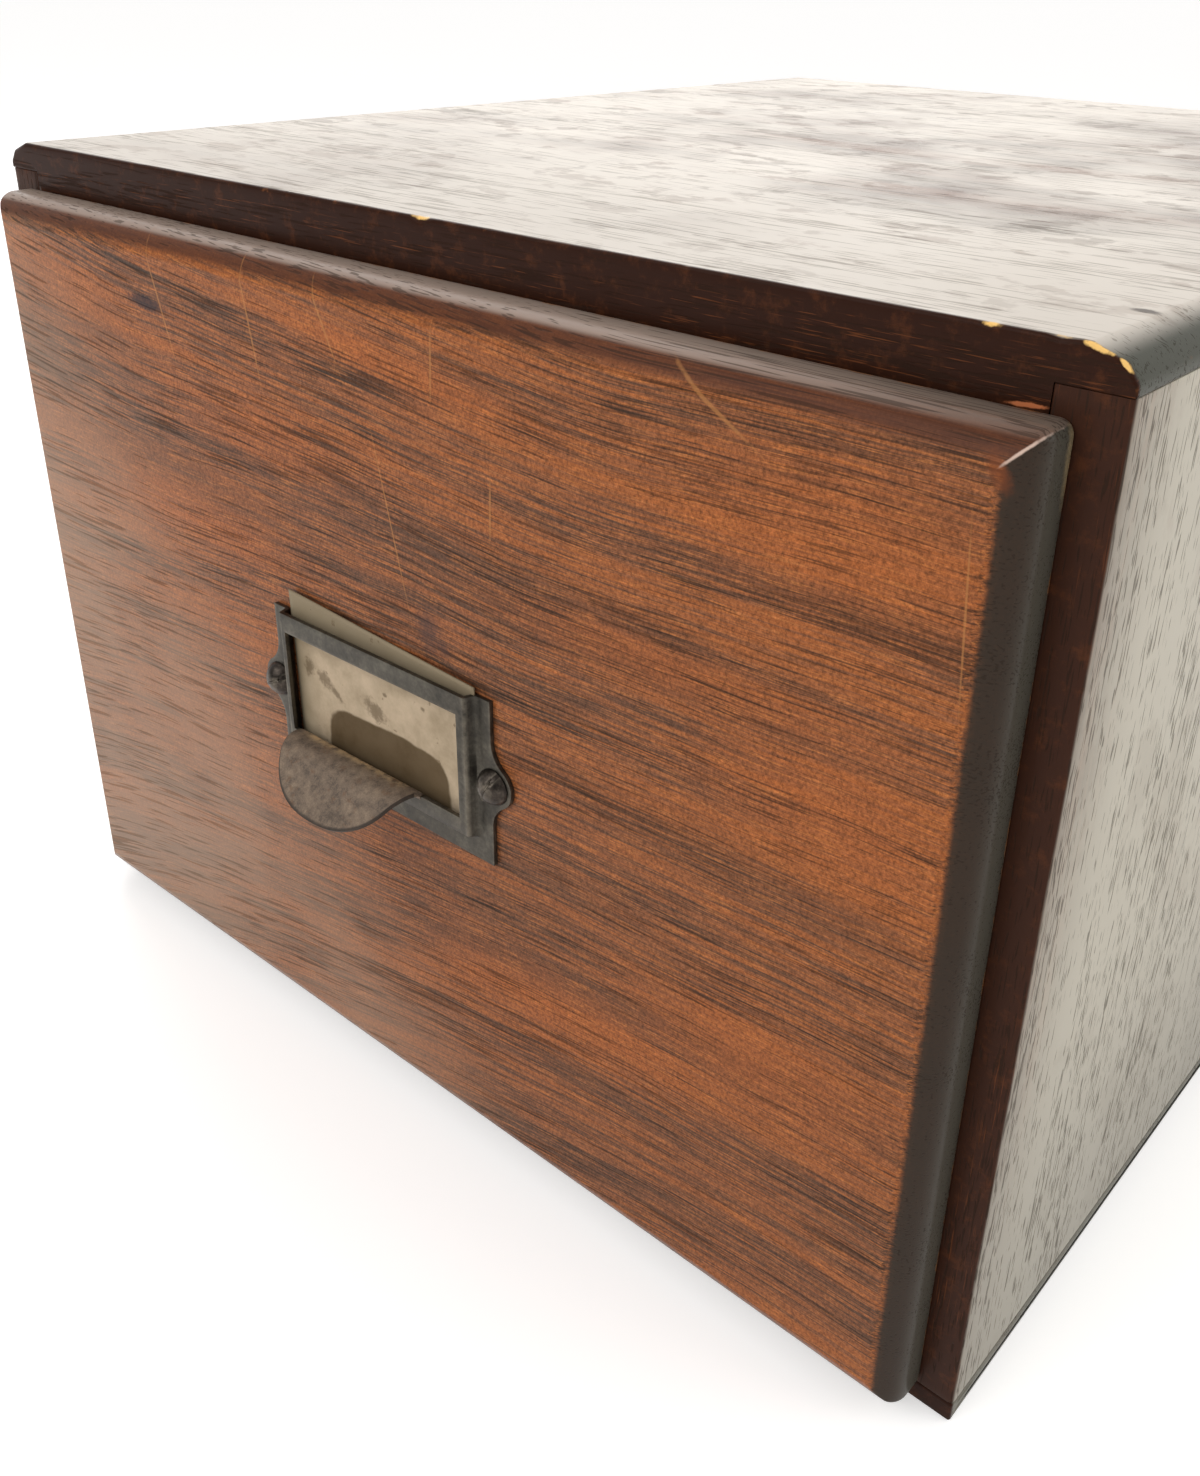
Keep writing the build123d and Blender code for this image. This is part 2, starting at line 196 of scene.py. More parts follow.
woodBase = {
    "grain": (1, 0, 0),           # the way the grain runs
    "sway": (0, 0, 1),            # the way it wanders
    "wander": 1.0,                # how far it wanders
    "fan": None,                  # (height in mm, share per metre, its fall towards +X): a line's
                                  # slope is its distance above this height times the share there
    "dark": paint(98, 57, 35),    # colours of the broad bands
    "middle": paint(130, 73, 38),
    "light": paint(158, 87, 40),
    "fibre": 0.9,                 # contrast of the fine lines
    # painted glints: short bright flecks along the fibre
    "glint": paint(206, 128, 68),
    "glints": 0.35,
    "speckle": 0.3,               # how strongly the surface is speckled
    "pore": paint(44, 34, 27),
    "porePitch": (60, 2500),      # noise pitch of the pores in a metre, along and across the grain
    "poreLow": 0.60,              # noise level where pores begin
    "poreHigh": 0.67,
    "poreDepth": 0.55,
    "poreCover": 0.0,             # how far the haze and painted sheen hide the pores
    "crowding": 0.4,              # how much the pores keep together
    "streaks": 0.6,               # strength of the long dark streaks
    "streakColour": paint(44, 36, 28),
    "haze": 0.0,                  # how much of the milky old finish and painted sheen lies over the wood
    "hazeColour": paint(200, 190, 172),
    "hazeRun": None,              # (direction, from, to): where the haze and painted sheen grow to full, in mm
    "stain": 0.0,                 # brown water stains in the haze and painted sheen
    "stainPitch": (30, 62, 40),
    "stainEdge": (0.52, 0.6),     # noise levels between which a stain grows
    "patchy": (0.15, 0.6),        # noise levels between which the haze and painted sheen grow
    "shades": (),                 # (direction, from, to, colour, share): painted shade, highlights and reflections towards an edge, and maybe a second (direction, from, to) that bounds it
                                  # second (direction, from, to) that bounds it
    "roughness": 0.34,
    "gloss": 0.08,                # strength of plain reflections
    "coat": 0.1,
    "seed": 0.0,
    "wornColour": paint(170, 110, 60),
    "edgeWear": 0.7,
    "flecks": None,               # (direction, from, to, colour): tiny pale dashes on a dark face
    "bands": (),                  # (colour, share, spots): broad tints under the streaks
    "marks": (),                  # (colour, share, softness, spots): chips, bruises and scratches
}


def woodMaterial(name, **changes):
    # open-pored wood: broad bands, fine fibre, long streaks and short pores, all drawn out along
    # the grain, then old finish with painted sheen, painted shade and highlights at edges, wear and
    # scratches over them
    w = dict(woodBase, **changes)
    material, tree, shader = newMaterial(name)
    coords = objectCoords(tree)
    shifted = mapped(tree, coords, shift=(w["seed"], 0.37 * w["seed"], 0.71 * w["seed"]))
    along = np.array(w["grain"], float)

    bent = shifted
    if w["fan"]:
        height, share, fall = w["fan"]
        places = put(tree, "SeparateXYZ", {0: coords})
        rise = calc(tree, "SUBTRACT", places.outputs[2], height * mm)
        share = calc(tree, "SUBTRACT", share, calc(tree, "MULTIPLY", places.outputs[0], fall / 2))
        push = calc(tree, "MULTIPLY", rise, calc(tree, "MULTIPLY", places.outputs[0], share))
        push = put(tree, "VectorMath", {0: w["sway"], "Scale": push}, operation="SCALE").outputs[0]
        bent = put(tree, "VectorMath", {0: bent, 1: push}, operation="ADD").outputs[0]
    # a slow and a quick wander, each with its noise pitch in a metre and its reach in metres
    for pitch, reach in ((6.0, 0.014), (27.0, 0.0016)):
        push = calc(tree, "SUBTRACT", noise(tree, shifted, pitch, 1.0), 0.5)
        push = calc(tree, "MULTIPLY", push, reach * w["wander"])
        push = put(tree, "VectorMath", {0: w["sway"], "Scale": push}, operation="SCALE").outputs[0]
        bent = put(tree, "VectorMath", {0: bent, 1: push}, operation="ADD").outputs[0]

    def drawnOut(alongPitch, acrossPitch, detail=2.0, roughness=0.5):
        # noise with its own pitch in a metre along the grain and across it
        scale = tuple(float(v) for v in along * alongPitch + (1 - along) * acrossPitch)
        return noise(tree, mapped(tree, bent, scale), 1.0, detail, roughness)

    figure = drawnOut(6.0, 85.0, 5.0, 0.62)
    fibre = drawnOut(22.0, 2000.0, 3.0, 0.7)
    glints = drawnOut(110.0, 3400.0, 2.0, 0.62)
    pores = drawnOut(w["porePitch"][0], w["porePitch"][1], 1.0, 0.4)
    crowd = drawnOut(9.0, 130.0, 2.0, 0.6)
    streaks = drawnOut(26.0, 1350.0, 2.0, 0.6)
    centred = calc(tree, "SUBTRACT", crowd, 0.5)

    value = calc(tree, "ADD", figure, calc(tree, "MULTIPLY", calc(tree, "SUBTRACT", fibre, 0.5), w["fibre"]))
    colour = ramp(tree, value, [(0.34, w["dark"]), (0.5, w["middle"]), (0.64, w["light"])])
    for tint, share, spots in w["bands"]:
        tinted = calc(tree, "MULTIPLY", spotMask(tree, coords, spots, 0.9, 0.8), share)
        colour = blendColours(tree, tinted, colour, tint)
    glintMask = calc(tree, "MULTIPLY", band(tree, glints, 0.52, 0.66), w["glints"])
    colour = blendColours(tree, glintMask, colour, w["glint"])
    streakMask = calc(tree, "ADD", streaks, calc(tree, "MULTIPLY", centred, 0.7))
    streakMask = calc(tree, "MULTIPLY", band(tree, streakMask, 0.61, 0.72), w["streaks"])
    colour = blendColours(tree, streakMask, colour, w["streakColour"])
    speckle = calc(tree, "SUBTRACT", noise(tree, coords, 1900, 2.0, 0.7), 0.5)
    speckle = calc(tree, "ADD", calc(tree, "MULTIPLY", speckle, 4 * w["speckle"]), 1.0)
    grey = put(tree, "CombineXYZ", {0: speckle, 1: speckle, 2: speckle}).outputs[0]
    colour = blendColours(tree, 1.0, colour, grey, "MULTIPLY")

    # milky old finish, partly painted sheen, with stains
    patches = noise(tree, mapped(tree, shifted, (14, 14, 14)), 1.0, 4.0, 0.6)
    stains = noise(tree, mapped(tree, shifted, w["stainPitch"], shift=(4, 2, 1)), 1.0, 5.0, 0.62)
    milkAndSheen = calc(tree, "MULTIPLY", band(tree, patches, *w["patchy"]), w["haze"])
    if w["hazeRun"]:
        milkAndSheen = calc(tree, "MULTIPLY", milkAndSheen, runMask(tree, coords, *w["hazeRun"]))
    stainMask = calc(tree, "MULTIPLY", band(tree, stains, *w["stainEdge"]), w["stain"])
    milkAndSheen = calc(tree, "MULTIPLY", milkAndSheen, calc(tree, "SUBTRACT", 1.0, stainMask))
    colour = blendColours(tree, milkAndSheen, colour, w["hazeColour"])
    # painted shade, highlights and reflections, each grown along a direction and maybe bounded
    for direction, start, stop, shade, share, *bounds in w["shades"]:
        shadeMask = calc(tree, "MULTIPLY", runMask(tree, coords, direction, start, stop), share)
        for bound in bounds:
            shadeMask = calc(tree, "MULTIPLY", shadeMask, runMask(tree, coords, *bound))
        colour = blendColours(tree, shadeMask, colour, shade)

    level = calc(tree, "ADD", pores, calc(tree, "MULTIPLY", centred, w["crowding"]))
    poreMask = band(tree, level, w["poreLow"], w["poreHigh"])
    covered = calc(tree, "MULTIPLY", milkAndSheen, w["poreDepth"] * w["poreCover"])
    shown = calc(tree, "SUBTRACT", w["poreDepth"], covered)
    colour = blendColours(tree, calc(tree, "MULTIPLY", poreMask, shown), colour, w["pore"])
    if w["flecks"]:
        direction, start, stop, fleckColour = w["flecks"]
        dashes = calc(tree, "MULTIPLY", band(tree, glints, 0.6, 0.68), band(tree, crowd, 0.48, 0.6))
        mottle = calc(tree, "MULTIPLY", band(tree, noise(tree, coords, 260, 5, 0.7), 0.5, 0.7), 0.3)
        dashes = calc(tree, "MAXIMUM", calc(tree, "MULTIPLY", dashes, 0.7), mottle)
        dashes = calc(tree, "MULTIPLY", dashes, runMask(tree, coords, direction, start, stop))
        colour = blendColours(tree, dashes, colour, fleckColour)

    # worn arrises: the wear attribute is 1 on an arris and falls away from it; then single marks
    edge = put(tree, "Attribute", attribute_name="wear").outputs["Fac"]
    rub = noise(tree, coords, 160, 4, 0.65)
    rubbed = band(tree, calc(tree, "ADD", calc(tree, "MULTIPLY", edge, w["edgeWear"]), rub), 1.08, 1.22)
    colour = blendColours(tree, calc(tree, "MULTIPLY", rubbed, 0.75), colour, w["wornColour"])
    for tint, share, soft, spots in w["marks"]:
        marked = calc(tree, "MULTIPLY", spotMask(tree, coords, spots, soft), share)
        colour = blendColours(tree, marked, colour, tint)

    tree.links.new(colour, shader.inputs["Base Color"])
    rough = calc(tree, "ADD", w["roughness"] - 0.06, calc(tree, "MULTIPLY", patches, 0.14))
    rough = calc(tree, "ADD", rough, calc(tree, "MULTIPLY", poreMask, 0.3))
    rough = calc(tree, "ADD", rough, calc(tree, "MULTIPLY", stainMask, 0.2), clamp=True)
    tree.links.new(rough, shader.inputs["Roughness"])
    shader.inputs["Specular IOR Level"].default_value = w["gloss"]
    shader.inputs["Coat Weight"].default_value = w["coat"]
    shader.inputs["Coat Roughness"].default_value = 0.2
    shader.inputs["Coat IOR"].default_value = 1.3

    height = calc(tree, "SUBTRACT", calc(tree, "MULTIPLY", fibre, 0.25), poreMask)
    bump = put(tree, "Bump", {"Height": height, "Strength": 0.3, "Distance": 0.00015})
    tree.links.new(bump.outputs[0], shader.inputs["Normal"])
    return material


upright = (0, 0, 1)
forward = (0, -1, 0)
topChips = [
    ((5.6, -142.4, 182.0), (2.0, 0.8, 0.5), 0),
    ((106.2, -142.4, 182.0), (1.2, 0.7, 0.45), 0),
    ((115.2, -142.4, 182.0), (1.5, 0.6, 0.25), 0),
    ((119.9, -142.4, 181.45), (2.5, 0.6, 0.4), 12),
    ((122.9, -142.4, 180.2), (1.4, 0.6, 0.25), 38),
]
splinter = [((112.3, -142.4, 173.3), (2.6, 1.2, 0.3), -4)]     # raw wood over the lip
topSpot = [((117.0, -123.0, 182.0), (1.8, 1.0, 1.0), 0)]


def scratch(start, end, width=0.22):
    # a long thin spot between two places (x, z) on the lip, in millimetres
    (x0, z0), (x1, z1) = start, end
    middle = ((x0 + x1) / 2, -151.5, (z0 + z1) / 2)
    half = math.hypot(x1 - x0, z1 - z0) / 2
    return (middle, (half, 9.0, width), -math.degrees(math.atan2(z1 - z0, x1 - x0)))


frontScratches = [
    scratch((-61.0, 170.0), (-55.0, 150.0)), scratch((-31.8, 171.3), (-28.1, 150.8)),
    scratch((-12.0, 170.5), (-6.0, 158.0)), scratch((18.0, 167.7), (17.3, 156.5)),
    scratch((2.0, 148.0), (9.0, 118.0), 0.15), scratch((30.4, 146.4), (30.0, 136.2)),
    scratch((65.7, 171.2), (79.5, 163.2), 0.3), scratch((112.0, 160.0), (113.5, 138.0), 0.15),
]
caseFront = -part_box("case_right_side")[0][1] / mm
caseEnds = (forward, caseFront - 0.9, caseFront - 0.3)       # the front ends of the case boards
# the front ends of the case boards, painted near black: their own dark wood and painted shade
darkShadedEnds = (*caseEnds, paint(50, 28, 19), 1.0)
caseWood = {
    "middle": paint(86, 54, 42), "light": paint(116, 76, 56), "dark": paint(50, 32, 26),
    "glint": paint(150, 104, 72), "glints": 0.15, "sway": (0, 1, 0), "wander": 0.4, "gloss": 0.05,
    "coat": 0.03, "flecks": (*caseEnds, paint(112, 64, 36)),
}
# the top: its near-white haze is partly the old milky finish and partly painted sheen
topWood = woodMaterial(
    "topWood", haze=0.95, stain=0.34, seed=0.3, roughness=0.28, streaks=0.3,
    stainPitch=(75, 110, 80), stainEdge=(0.55, 0.62), poreCover=0.3,
    marks=[(paint(250, 202, 122), 1.0, 0.3, topChips), (paint(206, 124, 80), 0.9, 0.3, splinter),
           (paint(70, 62, 56), 0.8, 0.4, topSpot)],
    hazeColour=paint(234, 225, 213), porePitch=(100, 2300), poreLow=0.6, poreHigh=0.66, poreDepth=0.45,
    edgeWear=0.45, wornColour=paint(150, 92, 52),
    # painted shade: darker towards the front edge and on the rounded right and left ends, then the dark
    # front end
    shades=[(forward, 30.0, 150.0, paint(186, 176, 164), 0.65),
            ((1, 0, 0), 118.0, 123.0, paint(62, 64, 54), 0.95),
            ((-1, 0, 0), 119.5, 123.0, paint(62, 56, 50), 0.85), darkShadedEnds], **caseWood)
# the side: its pale haze is partly old milky finish and partly painted sheen
sideWood = woodMaterial(
    "sideWood", grain=upright, haze=0.97, stain=0.1, seed=1.9, roughness=0.32, patchy=(0.0, 0.42),
    hazeColour=paint(196, 189, 173), hazeRun=((0, 1, 0), -165, -120), porePitch=(230, 2900), streaks=0.1,
    poreLow=0.6, poreHigh=0.65, poreDepth=0.55, edgeWear=0.35, wornColour=paint(140, 84, 48),
    # painted shade: darker towards the bottom, and a dark front end
    shades=[((0, 0, -1), -90.0, -5.0, paint(150, 144, 131), 0.65),
            (*caseEnds, paint(62, 38, 28), 1.0)], **caseWood)
backWood = woodMaterial("backWood", haze=0.2, seed=4.1, **caseWood)
baseWood = woodMaterial(
    "baseWood", haze=0.2, seed=5.3, edgeWear=0.2,
    # a pale grey right end, partly haze and partly painted sheen, and the front end painted near black,
    # partly painted shade
    shades=[((1, 0, 0), 122.0, 124.0, paint(112, 111, 99), 0.85), darkShadedEnds], **caseWood)
lipHalf, _, lipTop = (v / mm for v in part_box("drawer_front")[1])
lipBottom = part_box("drawer_front")[0][2] / mm
lipRound = 5.3
# the line at 45 degrees through the lip's upper right corner, and the board on either side of it
mitre = lipHalf - lipTop
rightOfMitre = ((1, 0, -1), mitre - 0.2, mitre + 0.2)
leftOfMitre = ((-1, 0, 1), -mitre - 0.2, -mitre + 0.2)


def streakSpots(*rows):
    # flat spots on the lip's face, each given as x, z, half-length, half-height and turn
    return [((x, -152, z), (length, 40, height), turn) for x, z, length, height, turn in rows]


frontBrown, frontGold = paint(92, 64, 48), paint(168, 94, 48)
# darker bands of figure; the band right of the label frame, at x 42, is its painted shadow, and those right
# of and below it, at x 33 and 24, are partly painted shade
darkBandsAndFrameShadow = streakSpots(
    (-63, 127, 40, 5, 4), (-103, 145, 15, 9, 6), (-79, 149, 14, 3, 6), (42, 98, 18, 3, 2),
    (85, 97, 30, 4, 0),
    (33, 76, 22, 3.5, -2), (24, 65, 24, 4.5, -4), (56, 37, 20, 1.6, 0), (-99, 25, 18, 3, -4),
    (52, 132, 28, 2, 3))
lightBands = streakSpots(
    (96, 154, 24, 10, 2), (70, 126, 32, 4, 0), (98, 113, 20, 10, 0), (88, 62, 24, 8, -3),
    (46, 49, 30, 7, -4), (-29, 140, 20, 5, 4), (-60, 117, 30, 5, 0), (-69, 66, 30, 10, -5),
    (10, 160, 26, 3, 6))
bruises = [((-62.5, -152.3, 159.0), (5.5, 3.0, 1.3), 4)]
inkMark = [((14.0, -152.3, 114.8), (2.6, 3.0, 4.2), 0), ((17.5, -152.3, 112.8), (1.8, 3.0, 1.2), 20)]
# a warm brown stroke that bends the edge of the right round's painted shade near the top corner
shadeEdgeStroke = [((lipHalf - 4.6, -151.2, lipTop - 5.2), (0.9, 9.0, 2.4), -30)]
cornerArris = [((lipHalf, -143.4, lipTop - 4.0), (0.9, 1.0, 5.5), 0)]
# a painted highlight along the ridge of the mitre
cornerHighlight = [((lipHalf - 2.6, -150.3, lipTop - 2.6), (2.3, 9.0, 0.2), -45)]
footChips = [((lipHalf - 7.5, -151.0, lipBottom + 1.0), (2.4, 9.0, 0.7), -8),
             ((lipHalf - 3.2, -150.5, lipBottom + 0.8), (1.6, 9.0, 0.6), 10)]
# the front: its haze, grown towards the left and bottom, is partly old milky finish and partly painted sheen
frontWood = woodMaterial(
    "frontWood", fan=(114.0, 1.8, 10.0), seed=2.6, dark=frontBrown, middle=paint(138, 86, 56),
    light=paint(156, 91, 50), fibre=1.25, speckle=0.5, glints=0.42, poreCover=0.9, haze=0.62,
    hazeColour=paint(172, 144, 122), hazeRun=((-1, 0, -0.8), -60, 32),
    bands=[(frontBrown, 0.5, darkBandsAndFrameShadow), (frontGold, 0.55, lightBands)],
    marks=[(paint(30, 30, 38), 0.8, 0.35, bruises), (paint(74, 54, 50), 0.6, 0.6, inkMark),
           (paint(184, 126, 74), 0.55, 0.5, frontScratches), (paint(122, 66, 38), 0.7, 0.6, shadeEdgeStroke),
           (paint(150, 132, 100), 0.7, 0.5, cornerArris), (paint(158, 108, 62), 0.8, 0.4, footChips),
           (paint(236, 206, 188), 0.8, 0.6, cornerHighlight)],
    # painted shade, partly worn finish: a dark red-brown band where the round leaves the face
    shades=[((0, 1, 0), -152.15, -151.3, paint(82, 46, 30), 0.85),
            # painted shade on the right round, right of the mitre
            ((1, 0, 0), lipHalf - lipRound + 0.7, lipHalf - lipRound + 1.7, paint(50, 45, 38), 0.88,
             rightOfMitre),
            # painted reflection: grey on the back part of the round
            ((0, 1, 0), -150.5, -146.0, paint(86, 85, 76), 0.6),
            # painted highlight: a pale glare band along the top round, left of the mitre and fading towards
            # the right
            (upright, lipTop - 1.5, lipTop - 0.7, paint(168, 149, 136), 0.75, leftOfMitre,
             ((-1, 0, 0), -150, -50))])
paleWood = {
    "dark": paint(150, 112, 70), "middle": paint(178, 140, 94), "light": paint(198, 164, 118),
    "pore": paint(110, 78, 48), "poreDepth": 0.5, "roughness": 0.5, "wornColour": paint(196, 164, 122),
}
trayWood = woodMaterial("trayWood", grain=(0, 1, 0), seed=7.7, **paleWood)
crossWood = woodMaterial("crossWood", seed=9.2, **paleWood)
print("wood materials made")


# metal and card

def metalMaterial(name, dark, middle, light, roughness=0.42, rust=0.0, metallic=0.85,
                  rubColour=paint(150, 140, 124), pitch=170):
    # blotchy old steel with some rust, paler where wear is 1 (worn edges, and on the frame's bends also
    # painted highlight) and dark where it is -1
    material, tree, shader = newMaterial(name)
    coords = objectCoords(tree)
    blotch = noise(tree, coords, pitch, 5, 0.65)
    fine = noise(tree, coords, 8 * pitch, 3, 0.6)
    value = calc(tree, "ADD", calc(tree, "MULTIPLY", blotch, 0.75), calc(tree, "MULTIPLY", fine, 0.25))
    colour = ramp(tree, value, [(0.35, dark), (0.52, middle), (0.68, light)])
    edge = put(tree, "Attribute", attribute_name="wear").outputs["Fac"]
    rubbed = calc(tree, "MULTIPLY", calc(tree, "MULTIPLY", edge, band(tree, blotch, 0.3, 0.6)), 0.6)
    colour = blendColours(tree, rubbed, colour, rubColour)
    if rust > 0:
        rusty = band(tree, noise(tree, coords, 330, 6, 0.7), 0.56, 0.66)
        colour = blendColours(tree, calc(tree, "MULTIPLY", rusty, rust), colour, paint(112, 78, 50))
    rim = calc(tree, "MULTIPLY", band(tree, calc(tree, "MULTIPLY", edge, -1.0), 0.3, 0.9), 0.8)
    colour = blendColours(tree, rim, colour, paint(38, 33, 29))
    tree.links.new(colour, shader.inputs["Base Color"])
    shader.inputs["Metallic"].default_value = metallic
    rough = calc(tree, "ADD", roughness - 0.12, calc(tree, "MULTIPLY", value, 0.3), clamp=True)
    tree.links.new(rough, shader.inputs["Roughness"])
    bump = put(tree, "Bump", {"Height": value, "Strength": 0.25, "Distance": 0.0002})
    tree.links.new(bump.outputs[0], shader.inputs["Normal"])
    return material


frameSteel = metalMaterial("frameSteel", paint(52, 49, 44), paint(71, 67, 60), paint(94, 90, 80), 0.4)
pullSteel = metalMaterial(
    "pullSteel", paint(88, 76, 65), paint(126, 109, 93), paint(152, 133, 112), rust=0.45, metallic=0.45,
    roughness=0.6, rubColour=paint(226, 192, 142), pitch=420)
screwSteel = metalMaterial("screwSteel", paint(38, 33, 30), paint(62, 55, 49), paint(98, 89, 80), 0.3)
innerSteel = metalMaterial("innerSteel", paint(90, 88, 84), paint(120, 118, 112), paint(148, 145, 138))


cardLook = {
    "paper": (paint(158, 140, 114), paint(202, 181, 154)),
    "stainColour": paint(78, 59, 31),
    "stainCentre": (1.3, 78.0), "stainHalf": (17.2, 12.7),     # x and z, in millimetres
    "spots": [((-15.8, -153.4, 95.2), (1.8, 4, 1.3), 35), ((-12.6, -153.4, 93.2), (1.9, 4, 0.7), 40),
              ((-20.4, -153.4, 96.4), (1.1, 4, 2.0), 10), ((-1.5, -153.4, 93.6), (2.4, 4, 1.7), 20),
              ((1.6, -153.4, 98.0), (0.5, 4, 0.4), 0), ((12.0, -153.4, 99.0), (0.5, 4, 0.4), 0)],
    "shaded": paint(124, 112, 88),      # painted shade on the strip that stands above the frame, and on the left end
}


def cardMaterial():
    # aged card with a brown stain shaped as a rounded block at its foot, a few brown spots, and painted
    # shade at its top strip and left end
    look = cardLook
    material, tree, shader = newMaterial("agedCard")
    coords = objectCoords(tree)
    mottle = noise(tree, coords, 130, 5, 0.65)
    colour = ramp(tree, mottle, [(0.3, look["paper"][0]), (0.7, look["paper"][1])])
    (centreX, centreZ), (halfX, halfZ) = look["stainCentre"], look["stainHalf"]
    values = {"Vector": coords, "Location": (centreX * mm, 0, centreZ * mm),
              "Scale": (halfX * mm, 1, halfZ * mm)}
    near = put(tree, "SeparateXYZ", {0: put(tree, "Mapping", values, vector_type="TEXTURE").outputs[0]})
    reach = [calc(tree, "POWER", calc(tree, "ABSOLUTE", near.outputs[k]), 5.0) for k in (0, 2)]
    waver = calc(tree, "MULTIPLY", calc(tree, "SUBTRACT", noise(tree, coords, 170, 4), 0.5), 0.5)
    reach = calc(tree, "ADD", calc(tree, "ADD", reach[0], reach[1]), waver)
    stain = calc(tree, "SUBTRACT", 1.0, band(tree, reach, 0.82, 1.05))
    paintedCardShade = calc(tree, "MAXIMUM", runMask(tree, coords, (0, 0, 1), 103.0, 107.0),
                  runMask(tree, coords, (-1, 0, 0), 17.0, 25.0))
    paintedCardShade = calc(tree, "MULTIPLY", paintedCardShade, calc(tree, "ADD", calc(tree, "MULTIPLY", mottle, 0.6), 0.4))
    colour = blendColours(tree, paintedCardShade, colour, look["shaded"])
    uneven = calc(tree, "ADD", calc(tree, "MULTIPLY", mottle, 0.5), 0.62)
    colour = blendColours(tree, calc(tree, "MULTIPLY", stain, uneven, True), colour, look["stainColour"])
    spots = spotMask(tree, coords, look["spots"], 0.5, 2.4)
    colour = blendColours(tree, calc(tree, "MULTIPLY", spots, 0.6), colour, look["stainColour"])
    specks = band(tree, noise(tree, mapped(tree, coords, shift=(0.3, 0, 0)), 420, 3, 0.6), 0.66, 0.72)
    colour = blendColours(tree, calc(tree, "MULTIPLY", specks, 0.6), colour, paint(104, 84, 60))
    tree.links.new(colour, shader.inputs["Base Color"])
    shader.inputs["Roughness"].default_value = 0.7
    shader.inputs["Specular IOR Level"].default_value = 0.2
    return material


agedCard = cardMaterial()
print("metal and card materials made")


# boards with eased arrises

boardLoops = {
    "near": 1.4 * mm,       # the loops beside an arris, which keep the faces next to it flat
    "far": 6 * mm,
    "behind": 1.5 * mm,     # the same behind an end
    "cap": 4 * mm,          # the loop on an end's face
}


def easedBoard(name, low, high, along, radii, stations, endEase=0.5 * mm, shape=None):
    # A rectangle with rounded corners carried along one axis. u runs round the rectangle and v
    # along the axis: each corner is a quarter circle about a point one radius inside both sides,
    # and near the two ends the rectangle shrinks by e * (1 - cos v), so the end arrises are round.
    p, q = (along + 1) % 3, (along + 2) % 3
    low, high = np.array(low, float), np.array(high, float)
    start, stop = low[along], high[along]
    thin = min(high[p] - low[p], high[q] - low[q])
    angles = np.linspace(0, np.pi / 2, 5)
    arcIn = [(endEase * (1 - math.cos(a)), endEase * (1 - math.sin(a)), 1.0) for a in angles]
    loops = boardLoops
    rim = min(loops["cap"], 0.42 * thin)
    # distance from the end, inset and wear
    ends = np.array([(0.0, rim, 0.0), (0.0, min(loops["near"], 0.5 * rim) + endEase, 0.3), *arcIn,
                     (endEase + loops["behind"], 0.0, 0.3), (endEase + loops["far"], 0.0, 0.0)])
    inner = [t for t in stations if start + ends[-1, 0] < t < stop - ends[-1, 0]]
    place = np.concatenate([start + ends[:, 0], inner, stop - ends[::-1, 0]])
    inset = np.concatenate([ends[:, 1], np.zeros(len(inner)), ends[::-1, 1]])
    endWear = np.concatenate([ends[:, 2], np.zeros(len(inner)), ends[::-1, 2]])

    sides = np.stack([np.full(len(place), v) for v in (low[p], high[p], low[q], high[q])])
    if shape is not None:
        sides = shape(place, sides)
    insetP = np.minimum(inset, 0.4 * (sides[1] - sides[0]))
    insetQ = np.minimum(inset, 0.4 * (sides[3] - sides[2]))
    lowP, highP = sides[0] + insetP, sides[1] - insetP
    lowQ, highQ = sides[2] + insetQ, sides[3] - insetQ
    reach = 0.45 * np.minimum(highP - lowP, highQ - lowQ)
    radius = radii(place) if callable(radii) else np.full((4, len(place)), radii)
    radius = np.clip(radius - inset, 0.05 * mm, np.maximum(reach, 0.05 * mm))

    corners = [(highP, highQ, -1, -1), (lowP, highQ, 1, -1), (lowP, lowQ, 1, 1), (highP, lowQ, -1, 1)]
    rings = []
    wears = []
    for k, (cornerP, cornerQ, signP, signQ) in enumerate(corners):
        r = radius[k][:, None]
        turn = (k * np.pi / 2 + angles)[None, :]
        centreP = cornerP[:, None] + signP * r
        centreQ = cornerQ[:, None] + signQ * r
        rings.append(np.stack([centreP + r * np.cos(turn), centreQ + r * np.sin(turn)], -1))
        wears.append(np.ones((len(place), len(angles))))
    outline = []
    wear = []
    for k in range(4):
        a = rings[k][:, -1]
        b = rings[(k + 1) % 4][:, 0]
        length = np.maximum(np.linalg.norm(b - a, axis=1), 1e-6)
        near = np.minimum(loops["near"] / length, 0.2)[:, None]
        far = np.minimum(loops["far"] / length, 0.42)[:, None]
        fractions = np.concatenate([near, far, 1 - far, 1 - near], 1)[:, :, None]
        outline = outline + [rings[k], a[:, None] + (b - a)[:, None] * fractions]
        wear = wear + [wears[k], np.tile([0.3, 0.0, 0.0, 0.3], (len(place), 1))]
    outline = np.concatenate(outline, 1)
    wear = np.maximum(np.concatenate(wear, 1), endWear[:, None])
    cap = (endWear == 0) & (inset > 0)
    wear[cap] = 0
    points = np.zeros(outline.shape[:2] + (3,))
    points[..., along] = place[:, None]
    points[..., p] = outline[..., 0]
    points[..., q] = outline[..., 1]
    rows, columns = points.shape[:2]
    faces = gridFaces(rows, columns, closedColumns=True)
    faces.append(list(range(columns))[::-1])
    faces.append([(rows - 1) * columns + j for j in range(columns)])
    return makeMesh(name, points, faces, wear=wear)


caseTopLow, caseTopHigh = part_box("case_top")
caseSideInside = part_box("case_right_side")[0][0]

